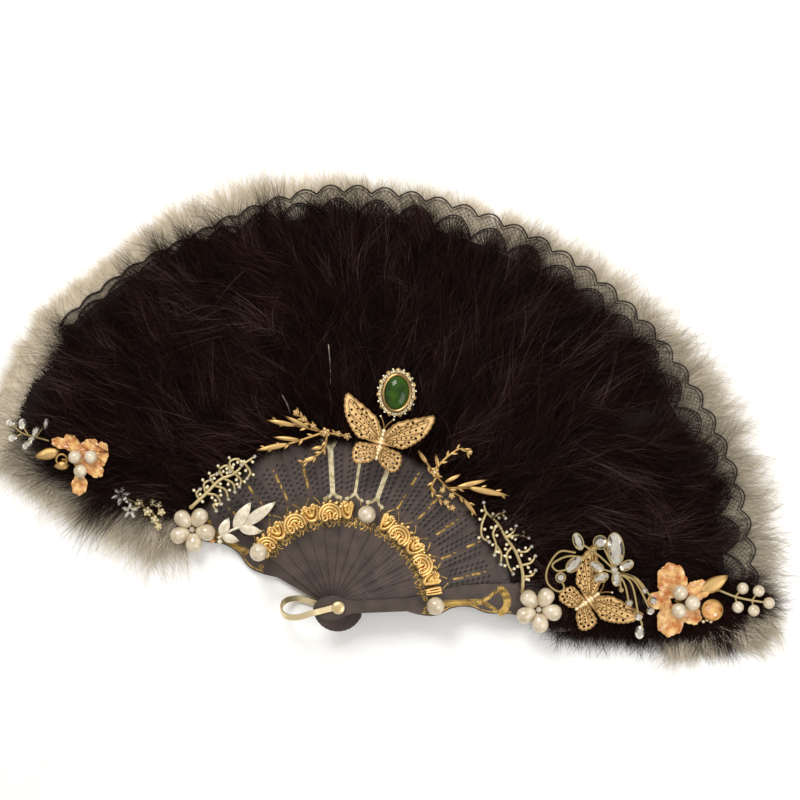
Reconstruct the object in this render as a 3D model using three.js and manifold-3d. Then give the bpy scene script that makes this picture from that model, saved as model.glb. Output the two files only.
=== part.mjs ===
// Feather folding fan: fourteen sticks on one rivet, a pleated leaf, lace, feather rows and ornaments.
// Millimetres, +Z up. The open fan lies on its back. The rivet's axis is Z, its flat underside is at
// the origin, and the middle of the open fan points along +Y. Angles run from +X. Stick 0 is the back
// guard, underneath on the left, and the last stick is the front guard, on top on the right.

import * as THREE from "three";
import { mergeVertices } from "three/addons/utils/BufferGeometryUtils.js";
import Module from "manifold-3d";

const wasm = await Module();
wasm.setup();

// Sticks: lengths along the stick are measured from the rivet
const INNER_STICKS = 12;
const OPEN_ANGLE = 148; // degrees from guard to guard
const STICK_THICKNESS = 0.5;
const GUARD_THICKNESS = 1.4;
const STICK_LENGTH = 206;
const TAIL_LENGTH = 13.4; // round end below the rivet
const HEAD_WIDTH = 13;
const HEAD_SHIFT = 2.2; // the head's widest place lies this far below the rivet
const NECK_START = 7;
const NECK_WIDTH = 7.2;
const GORGE_LENGTH = 46; // plain part, up to the pierced panel
const GORGE_WIDTH = 10.6;
const SHOULDER_LENGTH = 83; // where the pierced panel starts to round off
const BLADE_LENGTH = 91;
const BLADE_WIDTH = 18.4;
const SLIP_WIDTH = 6; // narrow outer part behind the leaf
const SLIP_END_WIDTH = 4;
const PAD_RADIUS = 6; // thicker disc round the rivet hole, which spaces the sticks
const PAD_CLEARANCE = 0.3;

// Pierced panel: long diamond holes beside the middle of each stick
const HOLE_ROWS = 2;
const HOLE_FIRST = 63.5;
const HOLE_STEP = 11;
const HOLE_LENGTH = 8.4;
const HOLE_WIDTH = 2.4;
const HOLE_OFFSET = 3.1;

// Guards: the outer edge is scalloped, the inner edge is a plain swell
const GUARD_NECK_WIDTH = 6.8;
const GUARD_NECK_LENGTH = 36;
const GUARD_OUTER_EDGE = [
  [44, 5.8], [52, 6.2], [61, 2.6], [70, 2.6], [79, 6.2], [92, 7.2],
  [105, 12], [117, 17.5], [125, 16.5], [136, 11.5], [146, 14.5], [160, 17.5], [180, 15], [196, 10],
];
const GUARD_INNER_EDGE = [[196, 6.5], [170, 8.5], [130, 9.2], [94, 9.2], [66, 9], [46, 5]];

// Stack on the rivet, from the underside up
const WASHER_THICKNESS = 0.8;
const WASHER_RADIUS = 3.4;
const BAIL_THICKNESS = 1;
const EYE_CLEARANCE = 0.25; // play on each side of a bail eye
const FRONT_EYE_CLEARANCE = 0.6; // over the front guard, whose head slopes
const BACK_GAP = 1.3; // between the back guard and the first inner stick, at the rivet
const LAYER_GAP = 0.65; // between neighbouring inner sticks, at the rivet
const TIP_HEIGHT = 0.2; // underside of every stick's outer end
const FRONT_TIP_HEIGHT = 1.9; // the front guard lies over the leaf there
const RIVET_RADIUS = 1.5;
const RIVET_HEAD_RADIUS = 3.2;
const RIVET_HEAD_HEIGHT = 1.3;
const RIVET_PLAY = 0.35; // between the rivet and the holes round it
const FIT = 0.1; // between the rivet and its washer

// Bail: a strap loop round the whole stack, twisted so that it stands open
const BAIL_ANGLE = 196;
const BAIL_LENGTH = 31;
const BAIL_WIDTH = 3.2;
const BAIL_SPREAD = 4.4;
const BAIL_EYE_RADIUS = 3.4;

// Leaf and lace
const SEAT = 0.3; // gap between pieces that lie on each other
const LEAF_INNER = 92;
const LEAF_PAST_TIPS = 1; // the leaf reaches this far past the sticks
const LEAF_OUTER = STICK_LENGTH + LEAF_PAST_TIPS;
const LEAF_THICKNESS = 0.5;
const LEAF_RIGHT_ANGLE = 8.5;
const LEAF_LEFT_ANGLE = 171;
const PLEAT_HEIGHT = 1.6;
const PLEAT_STEPS = 2; // facets between two sticks
const GUARD_COVER = 0.6; // share of the last pleat that lies flat under the front guard
const LACE_WIDTH = 18; // from the leaf's edge to the tips of the scallops
const LACE_NOTCH_SHARE = 0.33; // depth of the notches between scallops, as a share of the width
const LACE_THICKNESS = 0.5;
const LACE_LEFT_ANGLE = 182;
const LACE_SCALLOPS = 2; // between two sticks

// Feather rows: they share out the leaf, and each has a height and a right and left end in degrees
const ROW_START = 5; // from the leaf's inner edge to the first row
const ROW_OVERHANG = 5; // the last row reaches this far past the leaf
const ROW_GAP = 0.4;
const ROW_SHARES = [0, 0.315, 0.638, 1]; // where one row ends and the next one starts
const ROWS_INNER = LEAF_INNER + ROW_START;
const ROWS_DEPTH = LEAF_OUTER + ROW_OVERHANG - ROWS_INNER;
const ROW_FORMS = [
  { name: "marabou_inner_row", height: 7, right: 35, left: 171 },
  { name: "marabou_middle_row", height: 9, right: 22, left: 182 },
  { name: "marabou_outer_row", height: 7.5, right: 21, left: 182 },
];
const FEATHER_ROWS = ROW_FORMS.map((form, index) => {
  const inner = ROWS_INNER + ROWS_DEPTH * ROW_SHARES[index];
  const outer = ROWS_INNER + ROWS_DEPTH * ROW_SHARES[index + 1];
  return { ...form, inner, outer: index < ROW_FORMS.length - 1 ? outer - ROW_GAP : outer };
});
const FEATHER_EDGE = 1.2; // thickness along the rows' edges
const FEATHER_LUMP = 0.16; // share by which the tufts rise and fall
const FEATHER_TAPER = 30; // degrees over which a row thins to its ends
const FEATHER_FLOAT = 0.4;

// Scroll band: one cast scroll on each stick, low and high ones in turn
const SCROLL_RADIUS = 51;
const SCROLL_OFFSET = 2.3; // degrees from a stick's axis to its bare strip's middle
const HIGH_SCROLL_WIDTH = 13.4;
const LOW_SCROLL_WIDTH = 5.8;
const END_SCROLL_WIDTH = 4.3;
const END_SCROLL_OFFSET = 7.6;
const SCROLL_WIRE = 1.15; // radius of the cast rib
const LOW_SCROLL_WIRE = 0.85;
const HIGH_SCROLL_LIFT = 4.5;
const END_SCROLL_LIFT = 1.6;
const SCROLL_FOOT_RADIUS = 1.4;
const SCROLL_PEARL_DIAMETER = 9;
const LEFT_PEARL_OFFSET = 7;
const MIDDLE_PEARL_OFFSET = 2.7;
const RIGHT_PEARL_OFFSET = -1;

// Ornaments: their axes are turned from the fan's, and those that pass over each other when the
// fan folds lie at different heights
const SPRAY_TURN = 14;
const FOOT_RADIUS = 1.3;
const LEAF_SPRAY_LEVEL = 7.6;
const LEAF_SPRAY_THICKNESS = 0.9;
const LEAF_SPRAY_WIDTH = 7.5;
const LEFT_BRANCH_LEVEL = 10;
const LEVEL_GAP = 0.5;
const BRANCH_WIRE = 0.7;
const BRANCH_BEAD = 2.4;
const SPRAY_WIRE = 1;
const WING_THICKNESS = 0.8;
const WING_LENGTH = 28;
const SIDE_WING_LENGTH = 25;
const WING_RISE = 14; // degrees
const SIDE_WING_RISE = 8;
const BODY_DIAMETER = 3.4;
const STONE_WIDTH = 13;
const STONE_LENGTH = 18;
const STONE_HEIGHT = 5;
const SETTING_RIM = 4.2;
const SETTING_HEIGHT = 3.4;
const SETTING_FLOOR = 1.2;
const PETAL_PEARL_LENGTH = 11;
const PETAL_PEARL_WIDTH = 8.8;
const PETAL_PEARL_RING = 7;
const CRYSTAL_WIRE = 0.6;
const CRYSTAL_LENGTH = 6.5;
const CRYSTAL_WIDTH = 3.6;
const PETAL_LENGTH = 13;
const PETAL_WIDTH = 9;
const PETAL_THICKNESS = 3;
const BLOOM_LEAF_WIDTH = 4;
const BLOOM_SINK = 0.7; // how far the left flower nestles into the feathers
const SPRIG_PEARL = 6.4;
const BEAD_DIAMETER = 3.4;

const deg = THREE.MathUtils.degToRad;
const LAST = INNER_STICKS + 1;
const PITCH = deg(OPEN_ANGLE / LAST);
const BACK_ANGLE = deg(90 + OPEN_ANGLE / 2);
const HOLE_RADIUS = RIVET_RADIUS + RIVET_PLAY;

// Places of the sticks

function stickAngle(index) {
  return BACK_ANGLE - PITCH * index;
}

function stickThickness(index) {
  return index === 0 || index === LAST ? GUARD_THICKNESS : STICK_THICKNESS;
}

function gapAbove(index) {
  return index === 0 ? BACK_GAP : LAYER_GAP;
}

const BACK_BASE = WASHER_THICKNESS + BAIL_THICKNESS + 2 * EYE_CLEARANCE;

// Height of a stick's underside at the rivet.
function baseHeight(index) {
  let height = BACK_BASE;
  for (let below = 0; below < index; below += 1) {
    height += stickThickness(below) + gapAbove(below);
  }
  return height;
}

function tipHeight(index) {
  return index === LAST ? FRONT_TIP_HEIGHT : TIP_HEIGHT;
}

// Height of a stick's underside at a radius: the sticks slope from the stack down to their tips.
function underside(index, radius) {
  const along = Math.min(radius / STICK_LENGTH, 1);
  return baseHeight(index) + (tipHeight(index) - baseHeight(index)) * along;
}

function topside(index, radius) {
  return underside(index, radius) + stickThickness(index);
}

function stickSlope(index) {
  return Math.atan2(baseHeight(index) - tipHeight(index), STICK_LENGTH);
}

const FRONT_TOP = baseHeight(LAST) + GUARD_THICKNESS;
const FRONT_EYE_BASE = FRONT_TOP + FRONT_EYE_CLEARANCE;
const BACK_EYE_BASE = WASHER_THICKNESS + EYE_CLEARANCE;
const RIVET_HEAD_BASE = FRONT_EYE_BASE + BAIL_THICKNESS + EYE_CLEARANCE;

// Materials

function finish(colour, roughness, metalness) {
  return new THREE.MeshStandardMaterial({ color: colour, roughness, metalness });
}

const STICK_FINISH = finish(0x4a4240, 0.4, 0);
const GOLD = finish(0xd6a24a, 0.3, 1);
const PALE_GOLD = finish(0xe2c07a, 0.3, 1);
const SILVER = finish(0xd8d6d0, 0.25, 1);
const PEARL = finish(0xf1eadc, 0.2, 0);
const STONE = finish(0x2f4a3a, 0.15, 0);
const AMBER = finish(0xc98a4a, 0.3, 0);
const CRYSTAL = finish(0xe8e6ea, 0.1, 0);
const CLOTH = finish(0x14100f, 0.9, 0);
const LACE = finish(0x181413, 0.9, 0);
const FEATHER = finish(0x1c1413, 0.95, 0);

// Joining and making solids

function toSolid(geometry) {
  const bare = geometry.clone();
  bare.deleteAttribute("normal");
  bare.deleteAttribute("uv");
  const merged = mergeVertices(bare, 1e-4);
  const vertProperties = new Float32Array(merged.getAttribute("position").array);
  const triVerts = new Uint32Array(merged.getIndex().array);
  return new wasm.Manifold(new wasm.Mesh({ numProp: 3, vertProperties, triVerts }));
}

function toGeometry(solid) {
  const mesh = solid.getMesh();
  const geometry = new THREE.BufferGeometry();
  geometry.setAttribute("position", new THREE.BufferAttribute(mesh.vertProperties, 3));
  geometry.setIndex(new THREE.BufferAttribute(mesh.triVerts, 1));
  geometry.computeVertexNormals();
  return geometry;
}

function join(pieces) {
  let solid = toSolid(pieces[0]);
  for (const piece of pieces.slice(1)) {
    solid = solid.add(toSolid(piece));
  }
  return toGeometry(solid);
}

function extrude(shape, depth, segments = 5) {
  return new THREE.ExtrudeGeometry(shape, { depth, bevelEnabled: false, curveSegments: segments });
}

function ringShape(outer, inner) {
  const shape = new THREE.Shape();
  shape.absarc(0, 0, outer, 0, 2 * Math.PI);
  const hole = new THREE.Path();
  hole.absarc(0, 0, inner, 0, 2 * Math.PI, true);
  shape.holes.push(hole);
  return shape;
}

function polygonShape(sides, radius) {
  const points = [];
  for (let side = 0; side < sides; side += 1) {
    const angle = (2 * Math.PI * side) / sides;
    points.push(new THREE.Vector2(radius * Math.cos(angle), radius * Math.sin(angle)));
  }
  return new THREE.Shape(points);
}

// A round bar along a smooth curve through the points.
function wire(points, radius, steps, sides) {
  const path = new THREE.CatmullRomCurve3(points.map((p) => new THREE.Vector3(...p)), false, "centripetal");
  return new THREE.ExtrudeGeometry(polygonShape(sides, radius), { extrudePath: path, steps });
}

// A closed bar from rings of corners, each ring clockwise as seen along the bar.
function bar(corners, sides) {
  const rings = corners.length / sides;
  const faces = [];
  for (let ring = 0; ring < rings - 1; ring += 1) {
    for (let side = 0; side < sides; side += 1) {
      const a = ring * sides + side;
      const b = ring * sides + ((side + 1) % sides);
      faces.push(a, b, b + sides, a, b + sides, a + sides);
    }
  }
  const end = (rings - 1) * sides;
  for (let side = 1; side < sides - 1; side += 1) {
    faces.push(0, side + 1, side, end, end + side, end + side + 1);
  }
  const geometry = new THREE.BufferGeometry().setFromPoints(corners);
  geometry.setIndex(faces);
  return geometry;
}

const BALL_SIDES = 7;
const BALL_BANDS = 4;
const GEM_ROLL = 0.4;

// A faceted egg with its long axis turned in the plan.
function egg(x, y, z, length, width, height, turn) {
  const geometry = new THREE.SphereGeometry(0.5, BALL_SIDES, BALL_BANDS).rotateZ(Math.PI / 2);
  return geometry.scale(length, width, height).rotateZ(turn).translate(x, y, z);
}

function ball(x, y, z, radius) {
  return egg(x, y, z, 2 * radius, 2 * radius, 2 * radius, 0);
}

// A cut stone with eight faces, its long axis turned in the plan.
function gem(x, y, z, length, width, turn) {
  const geometry = new THREE.OctahedronGeometry(0.5).rotateX(GEM_ROLL).scale(length, width, width);
  return geometry.rotateZ(turn).translate(x, y, z);
}

function post(x, y, bottom, top, radius = FOOT_RADIUS) {
  const geometry = new THREE.CylinderGeometry(radius, radius, top - bottom, 6).rotateX(Math.PI / 2);
  return geometry.translate(x, y, (top + bottom) / 2);
}

// A flat pointed leaf from one point to another.
function blade(from, to, width, bottom, thickness) {
  const length = Math.hypot(to[0] - from[0], to[1] - from[1]);
  const shape = new THREE.Shape();
  shape.moveTo(0, 0);
  shape.quadraticCurveTo(length * 0.45, width, length, 0);
  shape.quadraticCurveTo(length * 0.45, -width, 0, 0);
  const turn = Math.atan2(to[1] - from[1], to[0] - from[0]);
  return extrude(shape, thickness, 4).rotateZ(turn).translate(from[0], from[1], bottom);
}

// A closed slab between two surfaces over a grid of angles and radii.
function slab(columns, rows, point) {
  const positions = [];
  for (const side of ["upper", "lower"]) {
    for (let column = 0; column <= columns; column += 1) {
      for (let row = 0; row <= rows; row += 1) {
        const [x, y, z] = point(column, row, side);
        positions.push(x, y, z);
      }
    }
  }
  const perColumn = rows + 1;
  const half = (columns + 1) * perColumn;
  const top = (column, row) => column * perColumn + row;
  const under = (column, row) => half + top(column, row);
  const faces = [];
  const quad = (a, b, c, d) => faces.push(a, b, c, a, c, d);
  for (let i = 0; i < columns; i += 1) {
    for (let j = 0; j < rows; j += 1) {
      quad(top(i, j), top(i, j + 1), top(i + 1, j + 1), top(i + 1, j));
      quad(under(i, j), under(i + 1, j), under(i + 1, j + 1), under(i, j + 1));
    }
    quad(top(i, 0), top(i + 1, 0), under(i + 1, 0), under(i, 0));
    quad(top(i, rows), under(i, rows), under(i + 1, rows), top(i + 1, rows));
  }
  for (let j = 0; j < rows; j += 1) {
    quad(top(0, j), under(0, j), under(0, j + 1), top(0, j + 1));
    quad(top(columns, j), top(columns, j + 1), under(columns, j + 1), under(columns, j));
  }
  const geometry = new THREE.BufferGeometry();
  geometry.setAttribute("position", new THREE.Float32BufferAttribute(positions, 3));
  geometry.setIndex(faces);
  geometry.computeVertexNormals();
  return geometry;
}

const fan = new THREE.Group();

function addPiece(name, geometry, material, parent = fan) {
  const mesh = new THREE.Mesh(geometry, material);
  mesh.name = name;
  parent.add(mesh);
  return mesh;
}

// Sticks and guards

// A group whose x axis runs out along a stick's underside.
function stickGroup(index) {
  const group = new THREE.Group();
  group.position.z = baseHeight(index);
  group.rotation.set(0, stickSlope(index), stickAngle(index), "ZYX");
  fan.add(group);
  return group;
}

const HOLE_SIDES = 8;

function addRivetHole(shape) {
  const outline = polygonShape(HOLE_SIDES, HOLE_RADIUS).getPoints().reverse();
  shape.holes.push(new THREE.Path(outline));
  return shape;
}

function addHead(shape) {
  const reach = TAIL_LENGTH - HEAD_SHIFT;
  shape.absellipse(-HEAD_SHIFT, 0, reach, HEAD_WIDTH / 2, Math.PI / 2, 1.5 * Math.PI, false, 0);
}

function stickShape() {
  const shape = new THREE.Shape();
  const slipStart = SLIP_WIDTH / 2;
  const tip = SLIP_END_WIDTH / 2;
  addHead(shape);
  shape.lineTo(NECK_START, -NECK_WIDTH / 2);
  shape.lineTo(GORGE_LENGTH, -GORGE_WIDTH / 2);
  shape.lineTo(SHOULDER_LENGTH, -BLADE_WIDTH / 2);
  shape.quadraticCurveTo(BLADE_LENGTH, -BLADE_WIDTH / 2, BLADE_LENGTH, -slipStart);
  shape.lineTo(STICK_LENGTH - tip, -tip);
  shape.absarc(STICK_LENGTH - tip, 0, tip, -Math.PI / 2, Math.PI / 2, false);
  shape.lineTo(BLADE_LENGTH, slipStart);
  shape.quadraticCurveTo(BLADE_LENGTH, BLADE_WIDTH / 2, SHOULDER_LENGTH, BLADE_WIDTH / 2);
  shape.lineTo(GORGE_LENGTH, GORGE_WIDTH / 2);
  shape.lineTo(NECK_START, NECK_WIDTH / 2);
  addRivetHole(shape);
  for (let row = 0; row < HOLE_ROWS; row += 1) {
    for (const side of [-1, 1]) {
      const x = HOLE_FIRST + HOLE_STEP * row;
      const y = side * HOLE_OFFSET;
      const hole = new THREE.Path();
      hole.moveTo(x + HOLE_LENGTH / 2, y);
      hole.lineTo(x, y - HOLE_WIDTH / 2);
      hole.lineTo(x - HOLE_LENGTH / 2, y);
      hole.lineTo(x, y + HOLE_WIDTH / 2);
      hole.closePath();
      shape.holes.push(hole);
    }
  }
  return shape;
}

// The guard's outer edge lies on its side away from the leaf: side is 1 for +y and -1 for -y.
function guardShape(side) {
  const shape = new THREE.Shape();
  const neck = GUARD_NECK_WIDTH / 2;
  const lower = side < 0 ? GUARD_OUTER_EDGE : GUARD_INNER_EDGE.slice().reverse();
  const upper = side < 0 ? GUARD_INNER_EDGE : GUARD_OUTER_EDGE.slice().reverse();
  const onLower = lower.map(([x, y]) => new THREE.Vector2(x, -y));
  const onUpper = upper.map(([x, y]) => new THREE.Vector2(x, y));
  addHead(shape);
  shape.lineTo(NECK_START, -neck);
  shape.lineTo(GUARD_NECK_LENGTH, -neck);
  shape.splineThru([...onLower, new THREE.Vector2(STICK_LENGTH, 0)]);
  shape.splineThru([...onUpper, new THREE.Vector2(GUARD_NECK_LENGTH, neck)]);
  shape.lineTo(NECK_START, neck);
  addRivetHole(shape);
  return shape;
}

function headPad(index) {
  const depth = stickThickness(index) + gapAbove(index) - PAD_CLEARANCE;
  return extrude(addRivetHole(polygonShape(HOLE_SIDES, PAD_RADIUS)), depth);
}

const STICK_SEGMENTS = 3;
const innerStickGeometry = join([extrude(stickShape(), STICK_THICKNESS, STICK_SEGMENTS), headPad(1)]);
for (let index = 1; index < LAST; index += 1) {
  addPiece(`stick_${String(index).padStart(2, "0")}`, innerStickGeometry, STICK_FINISH, stickGroup(index));
}
const GUARD_SEGMENTS = 3;
const backGuardPlate = extrude(guardShape(1), GUARD_THICKNESS, GUARD_SEGMENTS);
addPiece("back_guard", join([backGuardPlate, headPad(0)]), STICK_FINISH, stickGroup(0));
const frontGuardPlate = extrude(guardShape(-1), GUARD_THICKNESS, GUARD_SEGMENTS);
addPiece("front_guard", frontGuardPlate, STICK_FINISH, stickGroup(LAST));

// Rivet, washer and bail

const RIVET_SIDES = 12;
const EYE_SEGMENTS = 6;
const rivetProfile = [
  [0, 0],
  [RIVET_RADIUS, 0],
  [RIVET_RADIUS, RIVET_HEAD_BASE],
  [RIVET_HEAD_RADIUS, RIVET_HEAD_BASE],
  [RIVET_HEAD_RADIUS, RIVET_HEAD_BASE + RIVET_HEAD_HEIGHT / 2],
  [RIVET_HEAD_RADIUS / 2, RIVET_HEAD_BASE + RIVET_HEAD_HEIGHT],
  [0, RIVET_HEAD_BASE + RIVET_HEAD_HEIGHT],
].map(([x, y]) => new THREE.Vector2(x, y));
addPiece("rivet", new THREE.LatheGeometry(rivetProfile, RIVET_SIDES).rotateX(Math.PI / 2), GOLD);
const washerShape = ringShape(WASHER_RADIUS, RIVET_RADIUS + FIT);
addPiece("rivet_washer", extrude(washerShape, WASHER_THICKNESS, EYE_SEGMENTS), GOLD);

// Course of the strap from the front eye, round the bend, to the back eye: distance out from the
// rivet, sideways spread, share of the way down from the front eye to the back one, and extra height.
const BAIL_COURSE = [
  [0.1, 0, 0, 0], [0.3, 0.3, 0, 0.9], [0.47, 0.55, 0, 1.4], [0.7, 1, 0.06, 0], [0.91, 0.85, 0.3, 0],
  [0.985, 0, 0.52, 0],
  [0.91, -0.85, 0.76, 0], [0.7, -1, 0.98, 0], [0.45, -0.5, 1, 0], [0.25, -0.15, 1, 0], [0.1, 0, 1, 0],
];
const BAIL_STEPS = 24;

function bailGeometry() {
  const front = FRONT_EYE_BASE + BAIL_THICKNESS / 2;
  const back = BACK_EYE_BASE + BAIL_THICKNESS / 2;
  const course = BAIL_COURSE.map(([out, spread, share, extra]) => new THREE.Vector3(
    BAIL_LENGTH * out, BAIL_SPREAD * spread, front + (back - front) * share + extra));
  const path = new THREE.CatmullRomCurve3(course, false, "centripetal");
  const straight = BAIL_LENGTH * 0.6;
  const corners = [];
  for (let step = 0; step <= BAIL_STEPS; step += 1) {
    const place = path.getPointAt(step / BAIL_STEPS);
    const along = path.getTangentAt(step / BAIL_STEPS);
    const centre = new THREE.Vector3(Math.min(place.x, straight), place.y, (front + back) / 2);
    const outward = place.clone().sub(centre);
    outward.addScaledVector(along, -outward.dot(along)).normalize();
    const across = along.clone().cross(outward);
    for (const [side, face] of [[1, 1], [1, -1], [-1, -1], [-1, 1]]) {
      const corner = place.clone().addScaledVector(across, (side * BAIL_WIDTH) / 2);
      corners.push(corner.addScaledVector(outward, (face * BAIL_THICKNESS) / 2));
    }
  }
  const eye = extrude(ringShape(BAIL_EYE_RADIUS, HOLE_RADIUS), BAIL_THICKNESS, EYE_SEGMENTS);
  const frontEye = eye.clone().translate(0, 0, FRONT_EYE_BASE);
  const backEye = eye.clone().translate(0, 0, BACK_EYE_BASE);
  return join([bar(corners, 4), frontEye, backEye]);
}

addPiece("bail", bailGeometry(), GOLD).rotation.z = deg(BAIL_ANGLE);

// Leaf, lace and feather rows

// Where an angle lies among the sticks: a whole number is on a stick.
function stickPlace(angle) {
  return (BACK_ANGLE - angle) / PITCH;
}

// Height on which the leaf's underside rests at a stick.
function leafSeat(index, radius) {
  if (index >= LAST) {
    return underside(LAST, radius) - SEAT - LEAF_THICKNESS;
  }
  return topside(Math.max(index, 0), radius) + SEAT;
}

// The leaf's underside: a ridge stands up between two sticks, and the last pleat dips under the guard.
function leafUnder(angle, radius) {
  const place = Math.min(Math.max(stickPlace(angle), 0), LAST);
  const index = Math.min(Math.floor(place), LAST - 1);
  const along = place - index;
  const from = leafSeat(index, radius);
  const to = leafSeat(index + 1, radius);
  if (index === LAST - 1) {
    return from + (to - from) * Math.min(along / (1 - GUARD_COVER), 1);
  }
  return from + (to - from) * along + PLEAT_HEIGHT * (1 - Math.abs(2 * along - 1));
}

function leafTop(angle, radius) {
  return leafUnder(angle, radius) + LEAF_THICKNESS;
}

// Angles from one end to the other that include every fold of the leaf.
function foldAngles(right, left, steps) {
  const first = stickPlace(deg(left));
  const last = stickPlace(deg(right));
  const angles = [last];
  const folds = [];
  for (let fold = Math.ceil(first * steps); fold / steps < last; fold += 1) {
    folds.push(fold / steps);
  }
  const dip = LAST - GUARD_COVER;
  const inside = [...folds, dip].filter((place) => place > first + 0.02 && place < last - 0.02);
  const sorted = [...new Set(inside)].sort((a, b) => b - a);
  angles.push(...sorted, first);
  return angles.map((place) => BACK_ANGLE - place * PITCH);
}

function onPlan(angle, radius, height) {
  return [radius * Math.cos(angle), radius * Math.sin(angle), height];
}

const leafAngles = foldAngles(LEAF_RIGHT_ANGLE, LEAF_LEFT_ANGLE, PLEAT_STEPS);
const rowStarts = FEATHER_ROWS.slice(1).map((row) => row.inner);
const leafRadii = [LEAF_INNER, ...rowStarts, STICK_LENGTH, LEAF_OUTER];
addPiece("leaf", slab(leafAngles.length - 1, leafRadii.length - 1, (column, row, side) => {
  const angle = leafAngles[column];
  const radius = leafRadii[row];
  const height = side === "upper" ? leafTop(angle, radius) : leafUnder(angle, radius);
  return onPlan(angle, radius, height);
}), CLOTH);

const LACE_STEPS = LACE_SCALLOPS * 3;
const laceAngles = foldAngles(LEAF_RIGHT_ANGLE, LACE_LEFT_ANGLE, LACE_STEPS);
function scallopRadius(angle) {
  const wave = Math.abs(Math.sin(stickPlace(angle) * Math.PI * LACE_SCALLOPS));
  return LEAF_OUTER + LACE_WIDTH * (1 - LACE_NOTCH_SHARE * (1 - wave));
}
addPiece("lace_edging", slab(laceAngles.length - 1, 1, (column, row, side) => {
  const angle = laceAngles[column];
  const radius = row === 0 ? LEAF_OUTER + SEAT : scallopRadius(angle);
  const height = leafUnder(angle, LEAF_OUTER) + (side === "upper" ? LACE_THICKNESS : 0);
  return onPlan(angle, radius, height);
}), LACE);

const ROW_STEPS = 3;
function rowHeight(row, angle, share) {
  const fromRight = THREE.MathUtils.radToDeg(angle) - row.right;
  const fromLeft = row.left - THREE.MathUtils.radToDeg(angle);
  const taper = Math.min(1, fromRight / FEATHER_TAPER, fromLeft / FEATHER_TAPER);
  const lump = 1 - FEATHER_LUMP + FEATHER_LUMP * Math.cos(2 * Math.PI * stickPlace(angle));
  const dome = Math.sin(Math.PI * share) ** 0.7;
  return FEATHER_EDGE + (row.height - FEATHER_EDGE) * dome * lump * Math.max(taper, 0);
}

function featherTop(row, angle, radius) {
  const share = (radius - row.inner) / (row.outer - row.inner);
  return leafTop(angle, radius) + FEATHER_FLOAT + rowHeight(row, angle, share);
}

for (const row of FEATHER_ROWS) {
  const angles = foldAngles(row.right, row.left, 2);
  addPiece(row.name, slab(angles.length - 1, ROW_STEPS, (column, step, side) => {
    const angle = angles[column];
    const radius = row.inner + ((row.outer - row.inner) * step) / ROW_STEPS;
    const lower = leafTop(angle, radius) + FEATHER_FLOAT;
    return onPlan(angle, radius, side === "upper" ? featherTop(row, angle, radius) : lower);
  }), FEATHER);
}

// Scroll band

// A rib that winds in at both ends: power 2 gives an S scroll, power 1 a C scroll.
function scrollPoints(width, power, winding, ribRadius) {
  const count = 20;
  const points = [];
  let x = 0;
  let y = 0;
  for (let step = 0; step <= count; step += 1) {
    const along = (2 * step) / count - 1;
    const heading = winding * along ** power;
    points.push([x, y]);
    x += Math.cos(heading);
    y += Math.sin(heading);
  }
  const xs = points.map((p) => p[0]);
  const low = Math.min(...xs);
  const scale = (width - 2 * ribRadius) / (Math.max(...xs) - low);
  const middle = points[count / 2];
  return points.map((p) => [(p[0] - middle[0]) * scale, (p[1] - middle[1]) * scale]);
}

const S_WINDING = 1.25 * Math.PI;
const C_WINDING = 0.7 * Math.PI;
const SCROLL_STEPS = 14;
const SCROLL_SIDES = 4;

// A scroll in the plan, its length across the stick and its rib at a height above the stick.
function scrollGeometry(width, power, winding, lift, ribRadius) {
  const height = lift + ribRadius;
  const plan = scrollPoints(width, power, winding, ribRadius);
  const points = plan.map(([along, across]) => [across, along, height]);
  const pieces = [wire(points, ribRadius, SCROLL_STEPS, SCROLL_SIDES)];
  if (lift > SEAT) {
    pieces.push(post(0, 0, SEAT, height, SCROLL_FOOT_RADIUS));
  }
  return join(pieces);
}

// Places a piece on a stick's top face, turned from the stick's axis by an angle about the rivet.
function onStick(index, radius, offset, name, geometry, material) {
  const group = stickGroup(index);
  const piece = addPiece(name, geometry, material, group);
  piece.position.set(radius * Math.cos(offset), radius * Math.sin(offset), stickThickness(index));
  piece.rotation.z = offset;
}

const PEARL_STICK = INNER_STICKS / 2 + 1;
const highScroll = scrollGeometry(HIGH_SCROLL_WIDTH, 2, S_WINDING, HIGH_SCROLL_LIFT, SCROLL_WIRE);
const lowScroll = scrollGeometry(LOW_SCROLL_WIDTH, 1, C_WINDING, SEAT, LOW_SCROLL_WIRE);
const endScroll = scrollGeometry(END_SCROLL_WIDTH, 1, C_WINDING, END_SCROLL_LIFT, LOW_SCROLL_WIRE);
for (let index = 1; index < LAST; index += 1) {
  if (index === PEARL_STICK) {
    continue;
  }
  const name = `scroll_${String(index).padStart(2, "0")}`;
  const geometry = index % 2 === 1 ? highScroll : lowScroll;
  onStick(index, SCROLL_RADIUS, deg(SCROLL_OFFSET), name, geometry, GOLD);
}
onStick(LAST, SCROLL_RADIUS, deg(END_SCROLL_OFFSET), "scroll_end", endScroll, GOLD);

function scrollPearl(lift) {
  const radius = SCROLL_PEARL_DIAMETER / 2;
  return ball(0, 0, lift + SEAT + radius, radius);
}

const highTop = HIGH_SCROLL_LIFT + 2 * SCROLL_WIRE;
onStick(1, SCROLL_RADIUS, deg(LEFT_PEARL_OFFSET), "scroll_pearl_left", scrollPearl(highTop), PEARL);
onStick(PEARL_STICK, SCROLL_RADIUS, deg(MIDDLE_PEARL_OFFSET), "scroll_pearl_middle", scrollPearl(0), PEARL);
onStick(LAST, SCROLL_RADIUS, deg(RIGHT_PEARL_OFFSET), "scroll_pearl_right", scrollPearl(0), PEARL);

// Ornaments, placed in the sprays' own axes: x to the right, y up, from the rivet

const sprays = new THREE.Group();
sprays.rotation.z = deg(SPRAY_TURN);
fan.add(sprays);

function addOrnament(name, pieces, material) {
  addPiece(name, join(pieces), material, sprays);
}

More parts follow.
